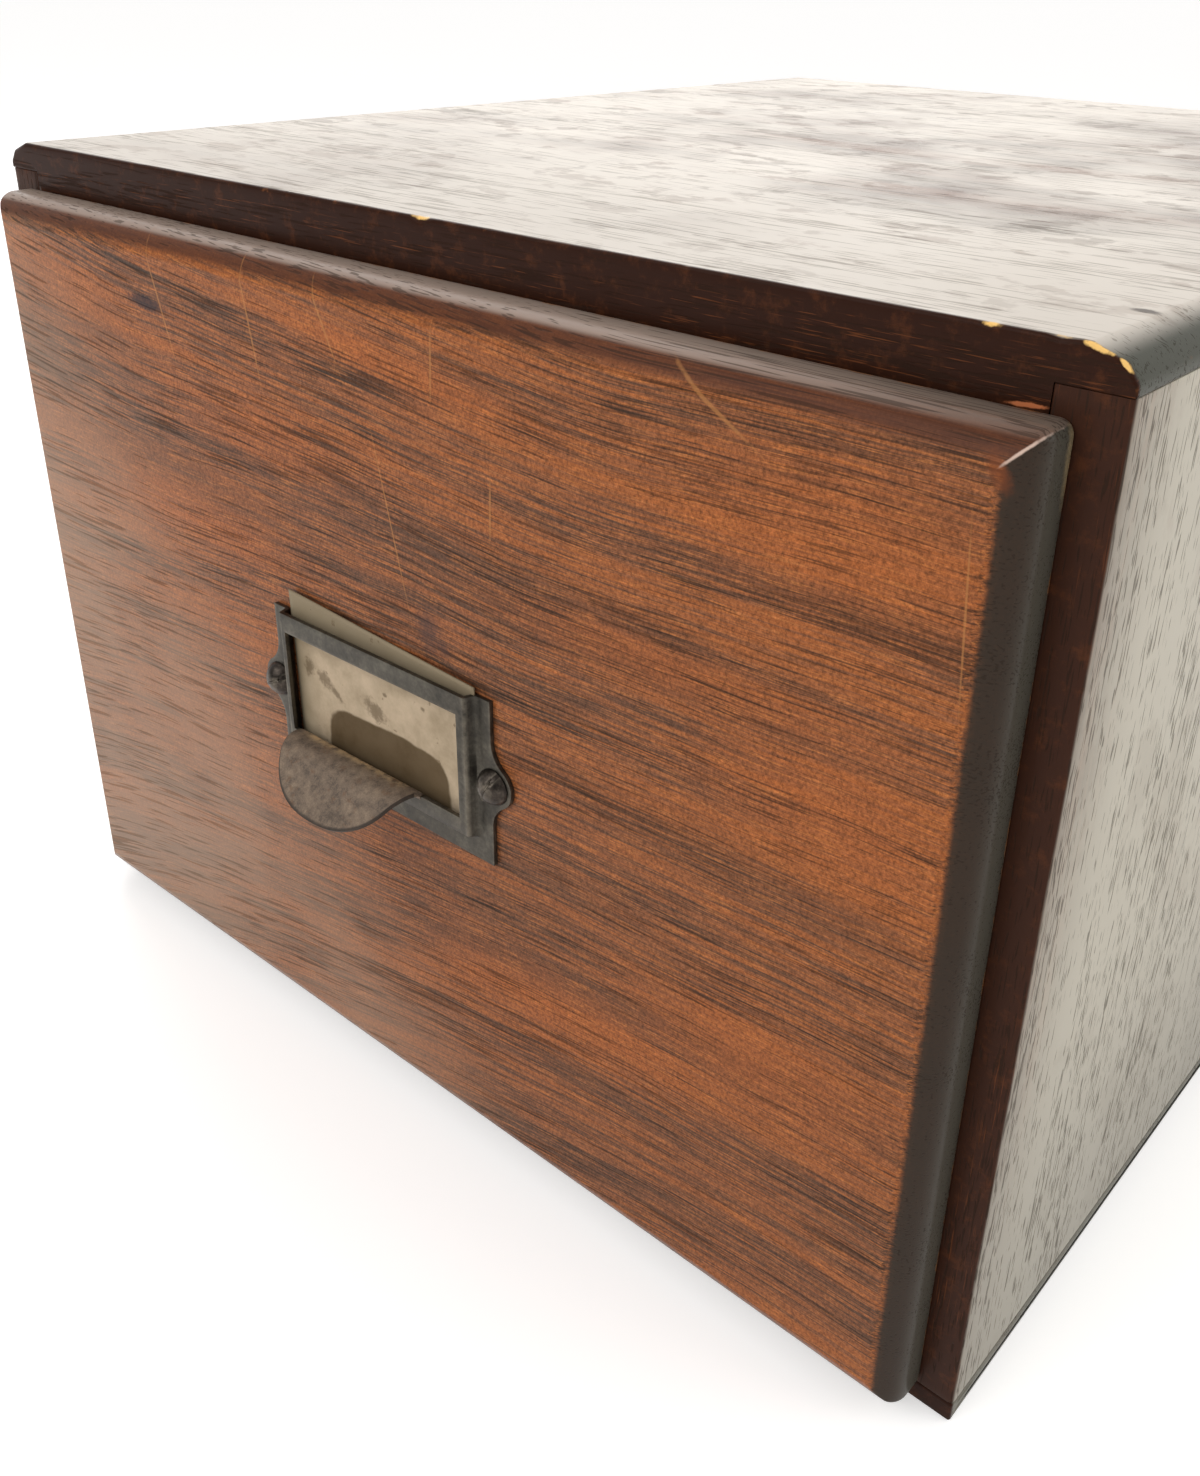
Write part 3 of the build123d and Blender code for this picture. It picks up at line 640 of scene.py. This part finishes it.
topShape = {
    "lip": 5.5 * mm,            # thickness of the top over a side
    "roundWidth": 7.5 * mm,
    "roundHeight": 4.8 * mm,
    "arris": 0.7 * mm,
    # place along the front arris, half-width and depth of its chips, in millimetres
    "chips": [(5.6, 3.0, 1.5), (106.0, 1.6, 1.2), (115.0, 2.0, 1.3), (121.0, 2.6, 1.2), (60.0, 1.4, 0.9)],
    "step": 1.0 * mm,
}
bottomLip = 4.4 * mm            # thickness of the bottom under a side
setBack = 0.05 * mm             # how far a board's face lies inside that of the piece let into it
caseArrises = {"side": 0.9 * mm, "inner": 0.5 * mm, "rear": 0.4 * mm, "sideStep": 1.5 * mm}


def besideSteps():
    # stations just before and just behind the steps over the inner faces of the two sides
    near = 0.02 * mm
    return [x + shift for x in (-caseSideInside, caseSideInside) for shift in (-near, near)]


def caseTopSides(x, sides):
    # the top surface falls as a quarter ellipse at both ends, and the underside steps up over the sides
    t = topShape
    drop = np.clip((np.abs(x) - (caseTopHigh[0] - t["roundWidth"])) / t["roundWidth"], 0, 1)
    fall = t["roundHeight"] * (1 - np.sqrt(1 - drop ** 2))
    sides[3] = caseTopHigh[2] - fall
    over = np.abs(x) > caseSideInside
    sides[2] = np.where(over, caseTopHigh[2] - t["lip"] + 0.05 * mm, caseTopLow[2])
    return sides


def caseTopRadii(x):
    # the section's second corner is the upper front arris, where chips make the round larger
    t = topShape
    radius = np.full((4, len(x)), t["arris"])
    radius[0] = 0.3 * mm
    worn = t["arris"] * (1 + 0.35 * wobble(x, 3))
    for centre, reach, depth in t["chips"]:
        worn = np.maximum(worn, depth * mm * np.exp(-((x / mm - centre) / reach) ** 2))
    radius[1] = worn
    radius[2] = 0.15 * mm
    radius[3] = 0.15 * mm
    return radius


def caseTopPiece():
    edge = caseSideInside
    ease = np.sin(np.linspace(0, np.pi / 2, 14))
    right = caseTopHigh[0] - topShape["roundWidth"] * (1 - ease)
    flat = np.arange(-edge + 1 * mm, edge - 0.5 * mm, topShape["step"])
    xs = np.unique(np.round(np.concatenate([flat, besideSteps(), right, -right]), 6))
    piece = easedBoard("caseTop", caseTopLow, caseTopHigh, 0, caseTopRadii, xs, 0.25 * mm, caseTopSides)
    return seat(piece, "case", "case_wood", topWood, "case_top")


def caseSidePiece(name, sign, node):
    # The outer front arris is worn round unevenly. The rear end lies a little inside the back
    # board's face, as that does inside the brads' heads, so each shows.
    low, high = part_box(node)
    low = Vector((low[0], low[1], bottomLip))
    high = Vector((high[0], high[1] - 2 * setBack, caseTopHigh[2] - topShape["lip"] - 0.02 * mm))

    def radii(z):
        radius = np.full((4, len(z)), caseArrises["rear"])
        radius[3 if sign > 0 else 2] = caseArrises["side"] * (1 + 0.4 * wobble(z, 11 + sign))
        radius[2 if sign > 0 else 3] = caseArrises["inner"]
        return radius

    zs = np.arange(low[2], high[2], caseArrises["sideStep"])
    piece = easedBoard(name, low, high, 2, radii, zs, 0.15 * mm)
    return seat(piece, "case", "case_wood", sideWood, node)


def caseBottomPiece():
    # the bottom board laps under the sides, so its upper face steps down at both ends
    low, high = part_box("case_bottom")
    low = Vector((low[0], low[1], low[2] + setBack))

    def sides(x, values):
        over = np.abs(x) > caseSideInside
        values[3] = np.where(over, bottomLip - 0.1 * mm, high[2])
        return values

    edge = caseSideInside
    flat = np.linspace(-edge + 2 * mm, edge - 2 * mm, 60)
    xs = np.sort(np.concatenate([flat, besideSteps(), [edge + 5 * mm, -edge - 5 * mm]]))
    piece = easedBoard("caseBottom", low, high, 0, 0.5 * mm, xs, 0.5 * mm, sides)
    return seat(piece, "case", "case_wood", baseWood, "case_bottom")


def caseBackPiece():
    low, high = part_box("case_back")
    high = Vector((high[0], high[1] - setBack, high[2]))
    xs = np.linspace(low[0], high[0], 40)
    piece = easedBoard("caseBack", low, high, 0, 0.3 * mm, xs, 0.3 * mm)
    return seat(piece, "case", "case_wood", backWood, "case_back")


caseTopPiece()
caseSidePiece("caseRightSide", 1, "case_right_side")
caseSidePiece("caseLeftSide", -1, "case_left_side")
caseBottomPiece()
caseBackPiece()
print("case boards made")


# lipped drawer front

drawerFrontLow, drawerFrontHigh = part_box("drawer_front")
traySideLow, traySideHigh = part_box("drawer_right_side")
lipShape = {
    "thick": 9.5 * mm,
    "round": lipRound * mm,
    "corner": 2.0 * mm,
    "breakAngle": math.radians(20),    # the round starts at this angle to the face, so a line shows
    "step": 2.0 * mm,
}


def lipPiece():
    # u runs round the board's outline, a rectangle with rounded corners, and v along its profile:
    # from the face over the rounded edge to the back. A point lies on the outline drawn in by the
    # profile's inset, at the profile's depth. The third value of the profile is its wear.
    s = lipShape
    halfX, halfZ = drawerFrontHigh[0], (drawerFrontHigh[2] - drawerFrontLow[2]) / 2
    middleZ = (drawerFrontHigh[2] + drawerFrontLow[2]) / 2
    face = drawerFrontLow[1]
    turn = np.linspace(s["breakAngle"], np.pi / 2, 13)
    fromFace = (np.sin(turn) - math.sin(turn[0])) / (1 - math.sin(turn[0]))
    down = 1 - np.cos(turn) / math.cos(turn[0])
    rounded = [(s["round"] * (1 - a), s["round"] * d, w)
               for a, d, w in zip(fromFace, down, [0.45, 0.1] + [0] * 9 + [0.2, 0.6])]
    profile = [(16 * mm, 0, 0), (s["round"] + 7 * mm, 0, 0), (s["round"] + 2 * mm, 0, 0.1),
               (s["round"] + 0.5 * mm, 0, 0.25), (s["round"] + 0.12 * mm, 0.02 * mm, 0.45)]
    profile = profile + rounded
    back = s["thick"]
    profile = profile + [(0, back - 1.6 * mm, 0.3), (0, back - 0.5 * mm, 0.9),
                         (0.15 * mm, back - 0.15 * mm, 1), (0.5 * mm, back, 0.9), (2 * mm, back, 0.2),
                         (16 * mm, back, 0)]
    profile = np.array(profile)

    quarter = np.linspace(0, np.pi / 2, 7)
    runs = [np.arange(-1, 1.0001, s["step"] / half)[1:-1] for half in (halfX, halfZ)]
    inset = profile[:, 0][:, None]
    radius = np.maximum(s["corner"] - inset, 0.25 * mm)
    boundX, boundZ = halfX - inset - radius, halfZ - inset - radius
    corners = [(1, 1), (-1, 1), (-1, -1), (1, -1)]
    pieces = []
    for k, (signX, signZ) in enumerate(corners):
        angle = (k * np.pi / 2 + quarter)[None, :]
        cornerX = signX * boundX + radius * np.cos(angle)
        cornerZ = signZ * boundZ + radius * np.sin(angle)
        pieces.append(np.stack([cornerX, cornerZ], -1))
        nextX, nextZ = corners[(k + 1) % 4]
        endAngle = (k + 1) * np.pi / 2
        a = pieces[-1][:, -1]
        b = np.stack([(nextX * boundX + radius * math.cos(endAngle))[:, 0],
                      (nextZ * boundZ + radius * math.sin(endAngle))[:, 0]], -1)
        share = ((runs[k % 2] + 1) / 2)[None, :, None]
        pieces.append(a[:, None] + (b - a)[:, None] * share)
    outline = np.concatenate(pieces, 1)
    columns = outline.shape[1]
    points = np.zeros((len(profile), columns, 3))
    points[..., 0] = outline[..., 0]
    points[..., 1] = face + profile[:, 1][:, None]
    points[..., 2] = middleZ + outline[..., 1]
    wear = np.tile(profile[:, 2][:, None], (1, columns))
    faces = gridFaces(len(profile), columns, closedColumns=True)
    faces.append(list(range(columns))[::-1])
    faces.append([(len(profile) - 1) * columns + j for j in range(columns)])
    board = makeMesh("lipBoard", points, faces, wear=wear)
    board.data.flip_normals()
    return board


def frontInnerPiece():
    # the part of the front that enters the case, kept 0.1 mm inside the tails of the dovetails
    half = traySideHigh[0] - 0.1 * mm
    front = drawerFrontLow[1] + lipShape["thick"] - 0.5 * mm
    low = Vector((-half, front, traySideLow[2]))
    high = Vector((half, drawerFrontHigh[1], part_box("drawer_back")[1][2]))
    xs = np.linspace(low[0], high[0], 30)
    return easedBoard("frontInner", low, high, 0, 0.4 * mm, xs, 0.4 * mm)


def joinPieces(main, *others):
    with bpy.context.temp_override(active_object=main, selected_editable_objects=[main, *others]):
        bpy.ops.object.join()
    return main


drawerFront = joinPieces(lipPiece(), frontInnerPiece())
drawerFront.name = "drawerFront"
seat(drawerFront, "drawer", "front_wood", frontWood, "drawer_front")
print("drawer front made")


# pressed label frame and its pull

labelFrame = {                       # all in millimetres
    "width": 59.2, "height": 33.3, "base": 73.7,
    "lobeRadius": 4.3, "lobeFillet": 6.0, "lobeX": 30.0, "lobeZ": 90.5,
    "raisedHalf": 26.2, "raised": 3.0, "raisedBase": 78.0, "wall": 1.1,
    "windowHalf": 23.3, "windowLow": 82.2, "windowHigh": 103.2, "leftShift": 0.85,
    "sheet": 0.9, "flangeStart": 0.3,
    "dent": 0.048,                   # how uneven the raised part is
}


def earReach(z):
    # how far the outline reaches in x at height z: the plate's edge, a hollow fillet, then the ear
    f = labelFrame
    plate = f["width"] / 2
    d = np.abs(z - f["lobeZ"])
    hollowX = plate + f["lobeFillet"]
    apart = f["lobeFillet"] + f["lobeRadius"]
    hollowZ = math.sqrt(apart ** 2 - (hollowX - f["lobeX"]) ** 2)
    touch = hollowZ * f["lobeRadius"] / apart
    ear = f["lobeX"] + np.sqrt(np.clip(f["lobeRadius"] ** 2 - d ** 2, 0, None))
    hollow = hollowX - np.sqrt(np.clip(f["lobeFillet"] ** 2 - (d - hollowZ) ** 2, 0, None))
    return np.where(d < touch, ear, np.where(d < hollowZ, hollow, plate))


def framePlate():
    # A pressed sheet as a depth over (x, z): 0.9 mm on the flange, 3 mm on the raised part, with a
    # smooth wall between them on three sides. The outermost columns follow the outline's ears.
    f = labelFrame
    raisedHalf, raisedBase, windowHalf = f["raisedHalf"], f["raisedBase"], f["windowHalf"]
    windowLow, windowHigh = f["windowLow"], f["windowHigh"]
    wall = np.array([0.0, 0.12, 0.3, 0.5, 0.7, 0.88, 1.0]) * f["wall"]
    window = windowHalf + np.array([-0.25, 0.0, 0.4, 1.1])
    half = np.concatenate([[0], np.linspace(3, 21, 7), window, raisedHalf - wall[::-1]])
    flangeShare = np.linspace(0, 1, 6)[1:]
    flange = np.full(len(flangeShare), raisedHalf)
    xs = np.concatenate([-flange, -half[:0:-1], half, flange])
    outward = np.concatenate([flangeShare[::-1], np.zeros(2 * len(half) - 1), flangeShare])
    zs = np.concatenate([[f["base"], f["base"] + 0.3], np.linspace(f["base"] + 1, raisedBase - 0.6, 4),
                         raisedBase + wall, windowLow + np.array([-0.8, -0.4, 0.0]),
                         np.linspace(windowLow + 1, windowHigh - 1, 36), [windowHigh, windowHigh + 0.4],
                         np.linspace(windowHigh + 1, f["base"] + f["height"], 4)])
    x, z = np.meshgrid(xs, zs)
    outward = outward[None, :] + 0 * z
    start = raisedHalf + f["flangeStart"]
    x = np.where(outward > 0, np.sign(x) * (start + outward * (earReach(z) - start)), x)
    sideWall = 1 - smoothStep(raisedHalf - 1.0, raisedHalf + 0.05, np.abs(x))
    footWall = smoothStep(raisedBase, raisedBase + f["wall"], z)
    lift = f["sheet"] + (f["raised"] - f["sheet"]) * sideWall * footWall
    lift = lift + f["dent"] * np.sin(z * 0.35 + 1.0) * np.exp(-((x + 10) / 22) ** 2)
    lift = np.minimum(lift, f["raised"])
    # the window's left edge lies a little further out than its right one
    edgePlaces = windowHalf + np.array([-1.3, -0.25, 0, 0.4, 1.1, 1.8])
    share = np.interp(-x, edgePlaces, [0, 1, 1, 0.78, 0.42, 0])
    points = np.stack([(x - f["leftShift"] * share) * mm, drawerFrontLow[1] - lift * mm, z * mm], -1)

    faces = np.array(gridFaces(*x.shape))
    middleX = x.reshape(-1)[faces].mean(1)
    middleZ = z.reshape(-1)[faces].mean(1)
    faces = faces[(np.abs(middleX) > windowHalf) | (middleZ < windowLow) | (middleZ > windowHigh)]
    jambs = (np.abs(np.abs(x) - windowHalf) < 0.3) & (z > windowLow - 1) & (z < windowHigh + 1)
    sills = (np.abs(z - windowLow) < 0.3) | (np.abs(z - windowHigh) < 0.3)
    nearWindow = jambs | (sills & (np.abs(x) < windowHalf + 0.3))
    # the bends of the raised sides get a paler rub: partly wear and partly painted highlight where the bends
    # catch light
    bendHighlight = (np.abs(np.abs(x) - raisedHalf + 0.9) < 0.3) & (z > raisedBase + 1)
    wear = np.where(nearWindow, 0.35, np.where(bendHighlight, 0.55, np.where(outward > 0.95, 0.3, 0.05)))
    return makeMesh("framePlate", points, faces.tolist(), wear=wear)


pull = {                             # lengths in millimetres
    "centre": -4.25, "half": 17.2,      # in the window's width
    "out": 12.7, "roundness": 2.37,     # the plan is a superellipse of this power
    "root": 83.0, "bend": 1.5,
    "arch": 6.0, "rise": math.radians(15.6), "fall": math.radians(48),
}


def pullTongue():
    # The pull as a curved strip: v runs out along a bend, over a small arch and down a straight
    # slope, and u across it. At each u the strip ends on a superellipse, so its plan is rounded.
    f, p = labelFrame, pull
    face = -drawerFrontLow[1] / mm + f["raised"] - f["sheet"] / 2
    bendTurn = np.linspace(0, math.pi / 2 - p["rise"], 7)
    bendOut = p["bend"] * (1 - np.cos(bendTurn))
    bendUp = p["root"] - p["bend"] + p["bend"] * np.sin(bendTurn)
    heading = p["rise"] - np.linspace(0, p["rise"] + p["fall"], 30)[1:]
    centreOut = bendOut[-1] + p["arch"] * math.sin(p["rise"])
    centreUp = bendUp[-1] - p["arch"] * math.cos(p["rise"])
    out = np.concatenate([bendOut, centreOut - p["arch"] * np.sin(heading)])
    up = np.concatenate([bendUp, centreUp + p["arch"] * np.cos(heading)])
    u = 0.995 * np.sin(np.linspace(-np.pi / 2, np.pi / 2, 81))      # stops short of the sharp ends
    reach = p["out"] * (1 - np.abs(u) ** p["roundness"]) ** (1 / p["roundness"])
    v = np.linspace(0, 1, 48)[:, None] ** 1.4
    distance = reach[None, :] * v
    height = np.interp(distance, out, up) - np.maximum(distance - out[-1], 0) * math.tan(p["fall"])
    x = p["centre"] + p["half"] * u[None, :] + 0 * v
    points = np.stack([x, -face - distance, height], -1) * mm
    crest = np.exp(-(distance - bendOut[-1]) ** 2) * smoothStep(0.05, 0.3, 1 - np.abs(u))[None, :]
    rim = smoothStep(0.93, 1.0, v) * np.ones_like(x)
    return makeMesh("pullTongue", points, gridFaces(*x.shape), wear=crest - rim)


def thicken(piece, thickness, offset, bevel=0.0):
    solid = piece.modifiers.new("thickness", "SOLIDIFY")
    solid.thickness = thickness
    solid.offset = offset
    solid.use_even_offset = True
    if bevel > 0:
        soft = piece.modifiers.new("softEdge", "BEVEL")
        soft.width = bevel
        soft.segments = 2
        soft.limit_method = "ANGLE"
        soft.angle_limit = math.radians(50)
    return piece


plate = framePlate()
thicken(plate, 0.85 * mm, -1, 0.12 * mm)      # clear of the wood by 0.05 mm
seat(plate, "drawer", "frame_steel", frameSteel, "label_frame_pull")
tongue = pullTongue()
thicken(tongue, 0.9 * mm, 0, 0.25 * mm)
seat(tongue, "drawer", "frame_steel", pullSteel, "label_frame_pull")

screwShape = {"radius": 2.9, "rise": 2.05, "slotHalf": 0.4, "slotDepth": 0.8}      # in millimetres


def screwPiece(name, centreX, turn):
    # A slotted dome over a disc: v is the place across the slot and u along it, and the height is
    # the dome's, cut down by the slot's depth where v lies inside the slot.
    radius, rise, slotHalf, slotDepth = screwShape.values()
    v = -np.cos(np.linspace(0, 1, 14) * np.pi / 2) * (radius - slotHalf) - slotHalf
    slot = np.linspace(-slotHalf + 0.1, slotHalf - 0.1, 3)
    v = np.concatenate([v, [-slotHalf + 0.03], slot, [slotHalf - 0.03], -v[::-1]])
    u = np.sin(np.linspace(-1, 1, 33) * np.pi / 2)
    across, along = np.meshgrid(v, u, indexing="ij")
    width = np.sqrt(np.clip(radius ** 2 - across ** 2, 0, None))
    px, py = width * along, across
    ball = (radius ** 2 + rise ** 2) / (2 * rise)
    r = np.hypot(px, py)
    dome = np.sqrt(np.clip(ball ** 2 - r ** 2, 0, None)) - (ball - rise)
    inside = np.abs(across) < slotHalf - 0.01
    height = np.where(inside, np.maximum(np.minimum(dome, rise - slotDepth), 0), dome)
    cos, sin = math.cos(turn), math.sin(turn)
    face = drawerFrontLow[1] / mm - labelFrame["sheet"]
    x = centreX + px * cos - py * sin
    z = labelFrame["lobeZ"] + px * sin + py * cos
    points = np.stack([x, face - height + 0.02, z], -1) * mm
    wear = 0.6 * (r > 0.3 * radius) * (np.abs(np.abs(across) - slotHalf) < 0.05) + 0.25 * (r / radius < 0.5)
    faces = gridFaces(*across.shape)
    piece = makeMesh(name, points, faces, wear=wear)
    piece.data.flip_normals()
    return piece


screws = joinPieces(screwPiece("labelScrews", -30.0, 0.5), screwPiece("labelScrew2", 30.0, 1.1))
thicken(screws, 0.6 * mm, -1)
seat(screws, "drawer", "screw_steel", screwSteel, "label_screws")


cardShape = {
    "lowShift": (0.6, 0, 0), "highShift": (0.9, 0, 0.7),     # from the solid's corners
    "rightHeight": 29.2, "hollow": 0.25,                     # of the slanted top
    "behind": 0.25, "bow": 0.5, "wave": 0.12, "thick": 0.35,
}


def cardPiece():
    # A card with a slanted, slightly hollow top: u runs across and v up it. Its depth grows with
    # the square of the distance from a line low on it, and with a shallow sine wave.
    c = cardShape
    low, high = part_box("label_card")
    low, high = low + Vector(c["lowShift"]) * mm, high + Vector(c["highShift"]) * mm
    u = np.linspace(0, 1, 50)[None, :]
    v = np.linspace(0, 1, 36)[:, None]
    x = low[0] + (high[0] - low[0]) * u + 0 * v
    fall = low[2] + c["rightHeight"] * mm - high[2]
    top = high[2] + fall * u - c["hollow"] * mm * np.sin(np.pi * u) ** 2
    z = low[2] + (top - low[2]) * v
    depth = c["behind"] + c["bow"] * (v - 0.2) ** 2 + c["wave"] * np.sin(6 * u + 2 * v)
    points = np.stack([x, high[1] - depth * mm, z], -1)
    return makeMesh("labelCard", points, gridFaces(*x.shape))


card = cardPiece()
thicken(card, cardShape["thick"] * mm, 0)
seat(card, "card", "card", agedCard, "label_card")
print("label frame, pull, screws and card made")


# CAD nodes that stay as they are

innerLooks = [
    (screwSteel, "case_bottom_brads", "case_back_brads", "drawer_bottom_brads", "follower_bracket_screws"),
    (trayWood, "drawer_left_side", "drawer_right_side"),
    (crossWood, "drawer_back", "drawer_bottom", "follower_block"),
    (innerSteel, "follower_track", "follower_track_pins", "follower_bracket", "follower_bolt",
     "follower_slide_plate", "follower_thumb_nut"),
]
for material, *nodes in innerLooks:
    for node in nodes:
        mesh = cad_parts[node].data
        mesh.materials.clear()
        mesh.materials.append(material)
print("inner pieces finished")


# floor, light and camera

floorLook = {"half": 30.0, "colour": paint(238, 236, 234), "glow": 0.45}      # half-size in metres


def floorPiece():
    # a wide square that glows a little, but only to the camera and to glossy surfaces
    half = floorLook["half"]
    points = half * np.array([[-1, -1, 0], [1, -1, 0], [1, 1, 0], [-1, 1, 0]])
    piece = makeMesh("floor", points, [[0, 1, 2, 3]], smooth=False)
    material, tree, shader = newMaterial("paleFloor")
    shader.inputs["Base Color"].default_value = floorLook["colour"]
    shader.inputs["Roughness"].default_value = 0.8
    glow = put(tree, "Emission", {"Color": (1, 1, 1, 1), "Strength": floorLook["glow"]})
    path = put(tree, "LightPath")
    seen = calc(tree, "MAXIMUM", path.outputs["Is Camera Ray"], path.outputs["Is Glossy Ray"])
    total = put(tree, "AddShader", {0: shader.outputs[0], 1: glow.outputs[0]})
    mixed = put(tree, "MixShader", {0: seen, 1: shader.outputs[0], 2: total.outputs[0]})
    output = [n for n in tree.nodes if n.type == "OUTPUT_MATERIAL"][0]
    tree.links.new(mixed.outputs[0], output.inputs[0])
    piece.data.materials.append(material)


lamps = {
    "back": {"place": (-0.75, 0.55, 0.95), "size": (1.2, 0.9), "power": 9.0},
    "right": {"place": (1.2, 0.5, 0.9), "size": (1.0, 1.0), "power": 6.0},
    "front": {"place": (-0.5, -1.5, 1.3), "size": (1.6, 1.2), "power": 13.0},
}


def areaLamp(name, place, size, power):
    data = bpy.data.lights.new(name, "AREA")
    data.shape = "RECTANGLE"
    data.size, data.size_y = size
    data.energy = power
    lamp = bpy.data.objects.new(name, data)
    bpy.context.scene.collection.objects.link(lamp)
    aim = Vector((0, 0, 0.08)) - Vector(place)
    lamp.matrix_world = Matrix.Translation(place) @ aim.to_track_quat("-Z", "Y").to_matrix().to_4x4()
    lamp.visible_camera = False


floorPiece()
for name, lamp in lamps.items():
    areaLamp(name + "Lamp", **lamp)

studio = {
    "level": 0.6,             # light from all round
    "frontGloss": 0.3,        # what glossy surfaces see in front of the box, where the room is dim
    "backGloss": 1.0,
}


def studioWorld():
    # white to the camera, and to glossy surfaces white behind and dim in front
    world = bpy.data.worlds.new("studio")
    bpy.context.scene.world = world
    world.use_nodes = True
    tree = world.node_tree
    background = tree.nodes["Background"]
    background.inputs[0].default_value = (1, 1, 1, 1)
    path = put(tree, "LightPath")
    direction = put(tree, "TexCoord").outputs["Generated"]
    depth = put(tree, "SeparateXYZ", {0: direction}).outputs[1]
    values = {"Value": depth, "From Min": -0.5, "From Max": 0.1, "To Min": studio["frontGloss"],
              "To Max": studio["backGloss"]}
    gloss = put(tree, "MapRange", values, interpolation_type="SMOOTHSTEP").outputs[0]
    values = {0: path.outputs["Is Glossy Ray"], 2: studio["level"], 3: gloss}
    strength = put(tree, "Mix", values, data_type="FLOAT").outputs[0]
    values = {0: path.outputs["Is Camera Ray"], 2: strength, 3: 1.0}
    strength = put(tree, "Mix", values, data_type="FLOAT").outputs[0]
    tree.links.new(strength, background.inputs[1])


studioWorld()

cameraView = {
    "place": (0.18145, -0.29575, 0.22043),
    "azimuth": 40.17, "elevation": 26.62, "roll": 1.18,     # degrees
    "focalPixels": 1402.3, "centre": (633.4, 653.7), "picture": (1200, 1476),
    "sensor": 36,                                           # of the picture's longer side, in mm
}


def placeCamera():
    c = cameraView
    width, height = c["picture"]
    azimuth, elevation, roll = (math.radians(c[k]) for k in ("azimuth", "elevation", "roll"))
    back = Vector((math.sin(azimuth) * math.cos(elevation), -math.cos(azimuth) * math.cos(elevation),
                   math.sin(elevation)))
    right = Vector((math.cos(azimuth), math.sin(azimuth), 0))
    up = back.cross(right)
    turnedRight = right * math.cos(roll) + up * math.sin(roll)
    turnedUp = up * math.cos(roll) - right * math.sin(roll)
    data = bpy.data.cameras.new("camera")
    data.sensor_width = c["sensor"]
    data.lens = c["focalPixels"] / height * c["sensor"]
    data.shift_x = (width / 2 - c["centre"][0]) / height
    data.shift_y = (c["centre"][1] - height / 2) / height
    data.clip_start = 0.01
    data.clip_end = 100
    camera = bpy.data.objects.new("camera", data)
    bpy.context.scene.collection.objects.link(camera)
    turned = Matrix((turnedRight, turnedUp, back)).transposed().to_4x4()
    camera.matrix_world = Matrix.Translation(c["place"]) @ turned
    bpy.context.scene.camera = camera


placeCamera()
bpy.context.scene.view_settings.view_transform = "Standard"
print("floor, light and camera placed")
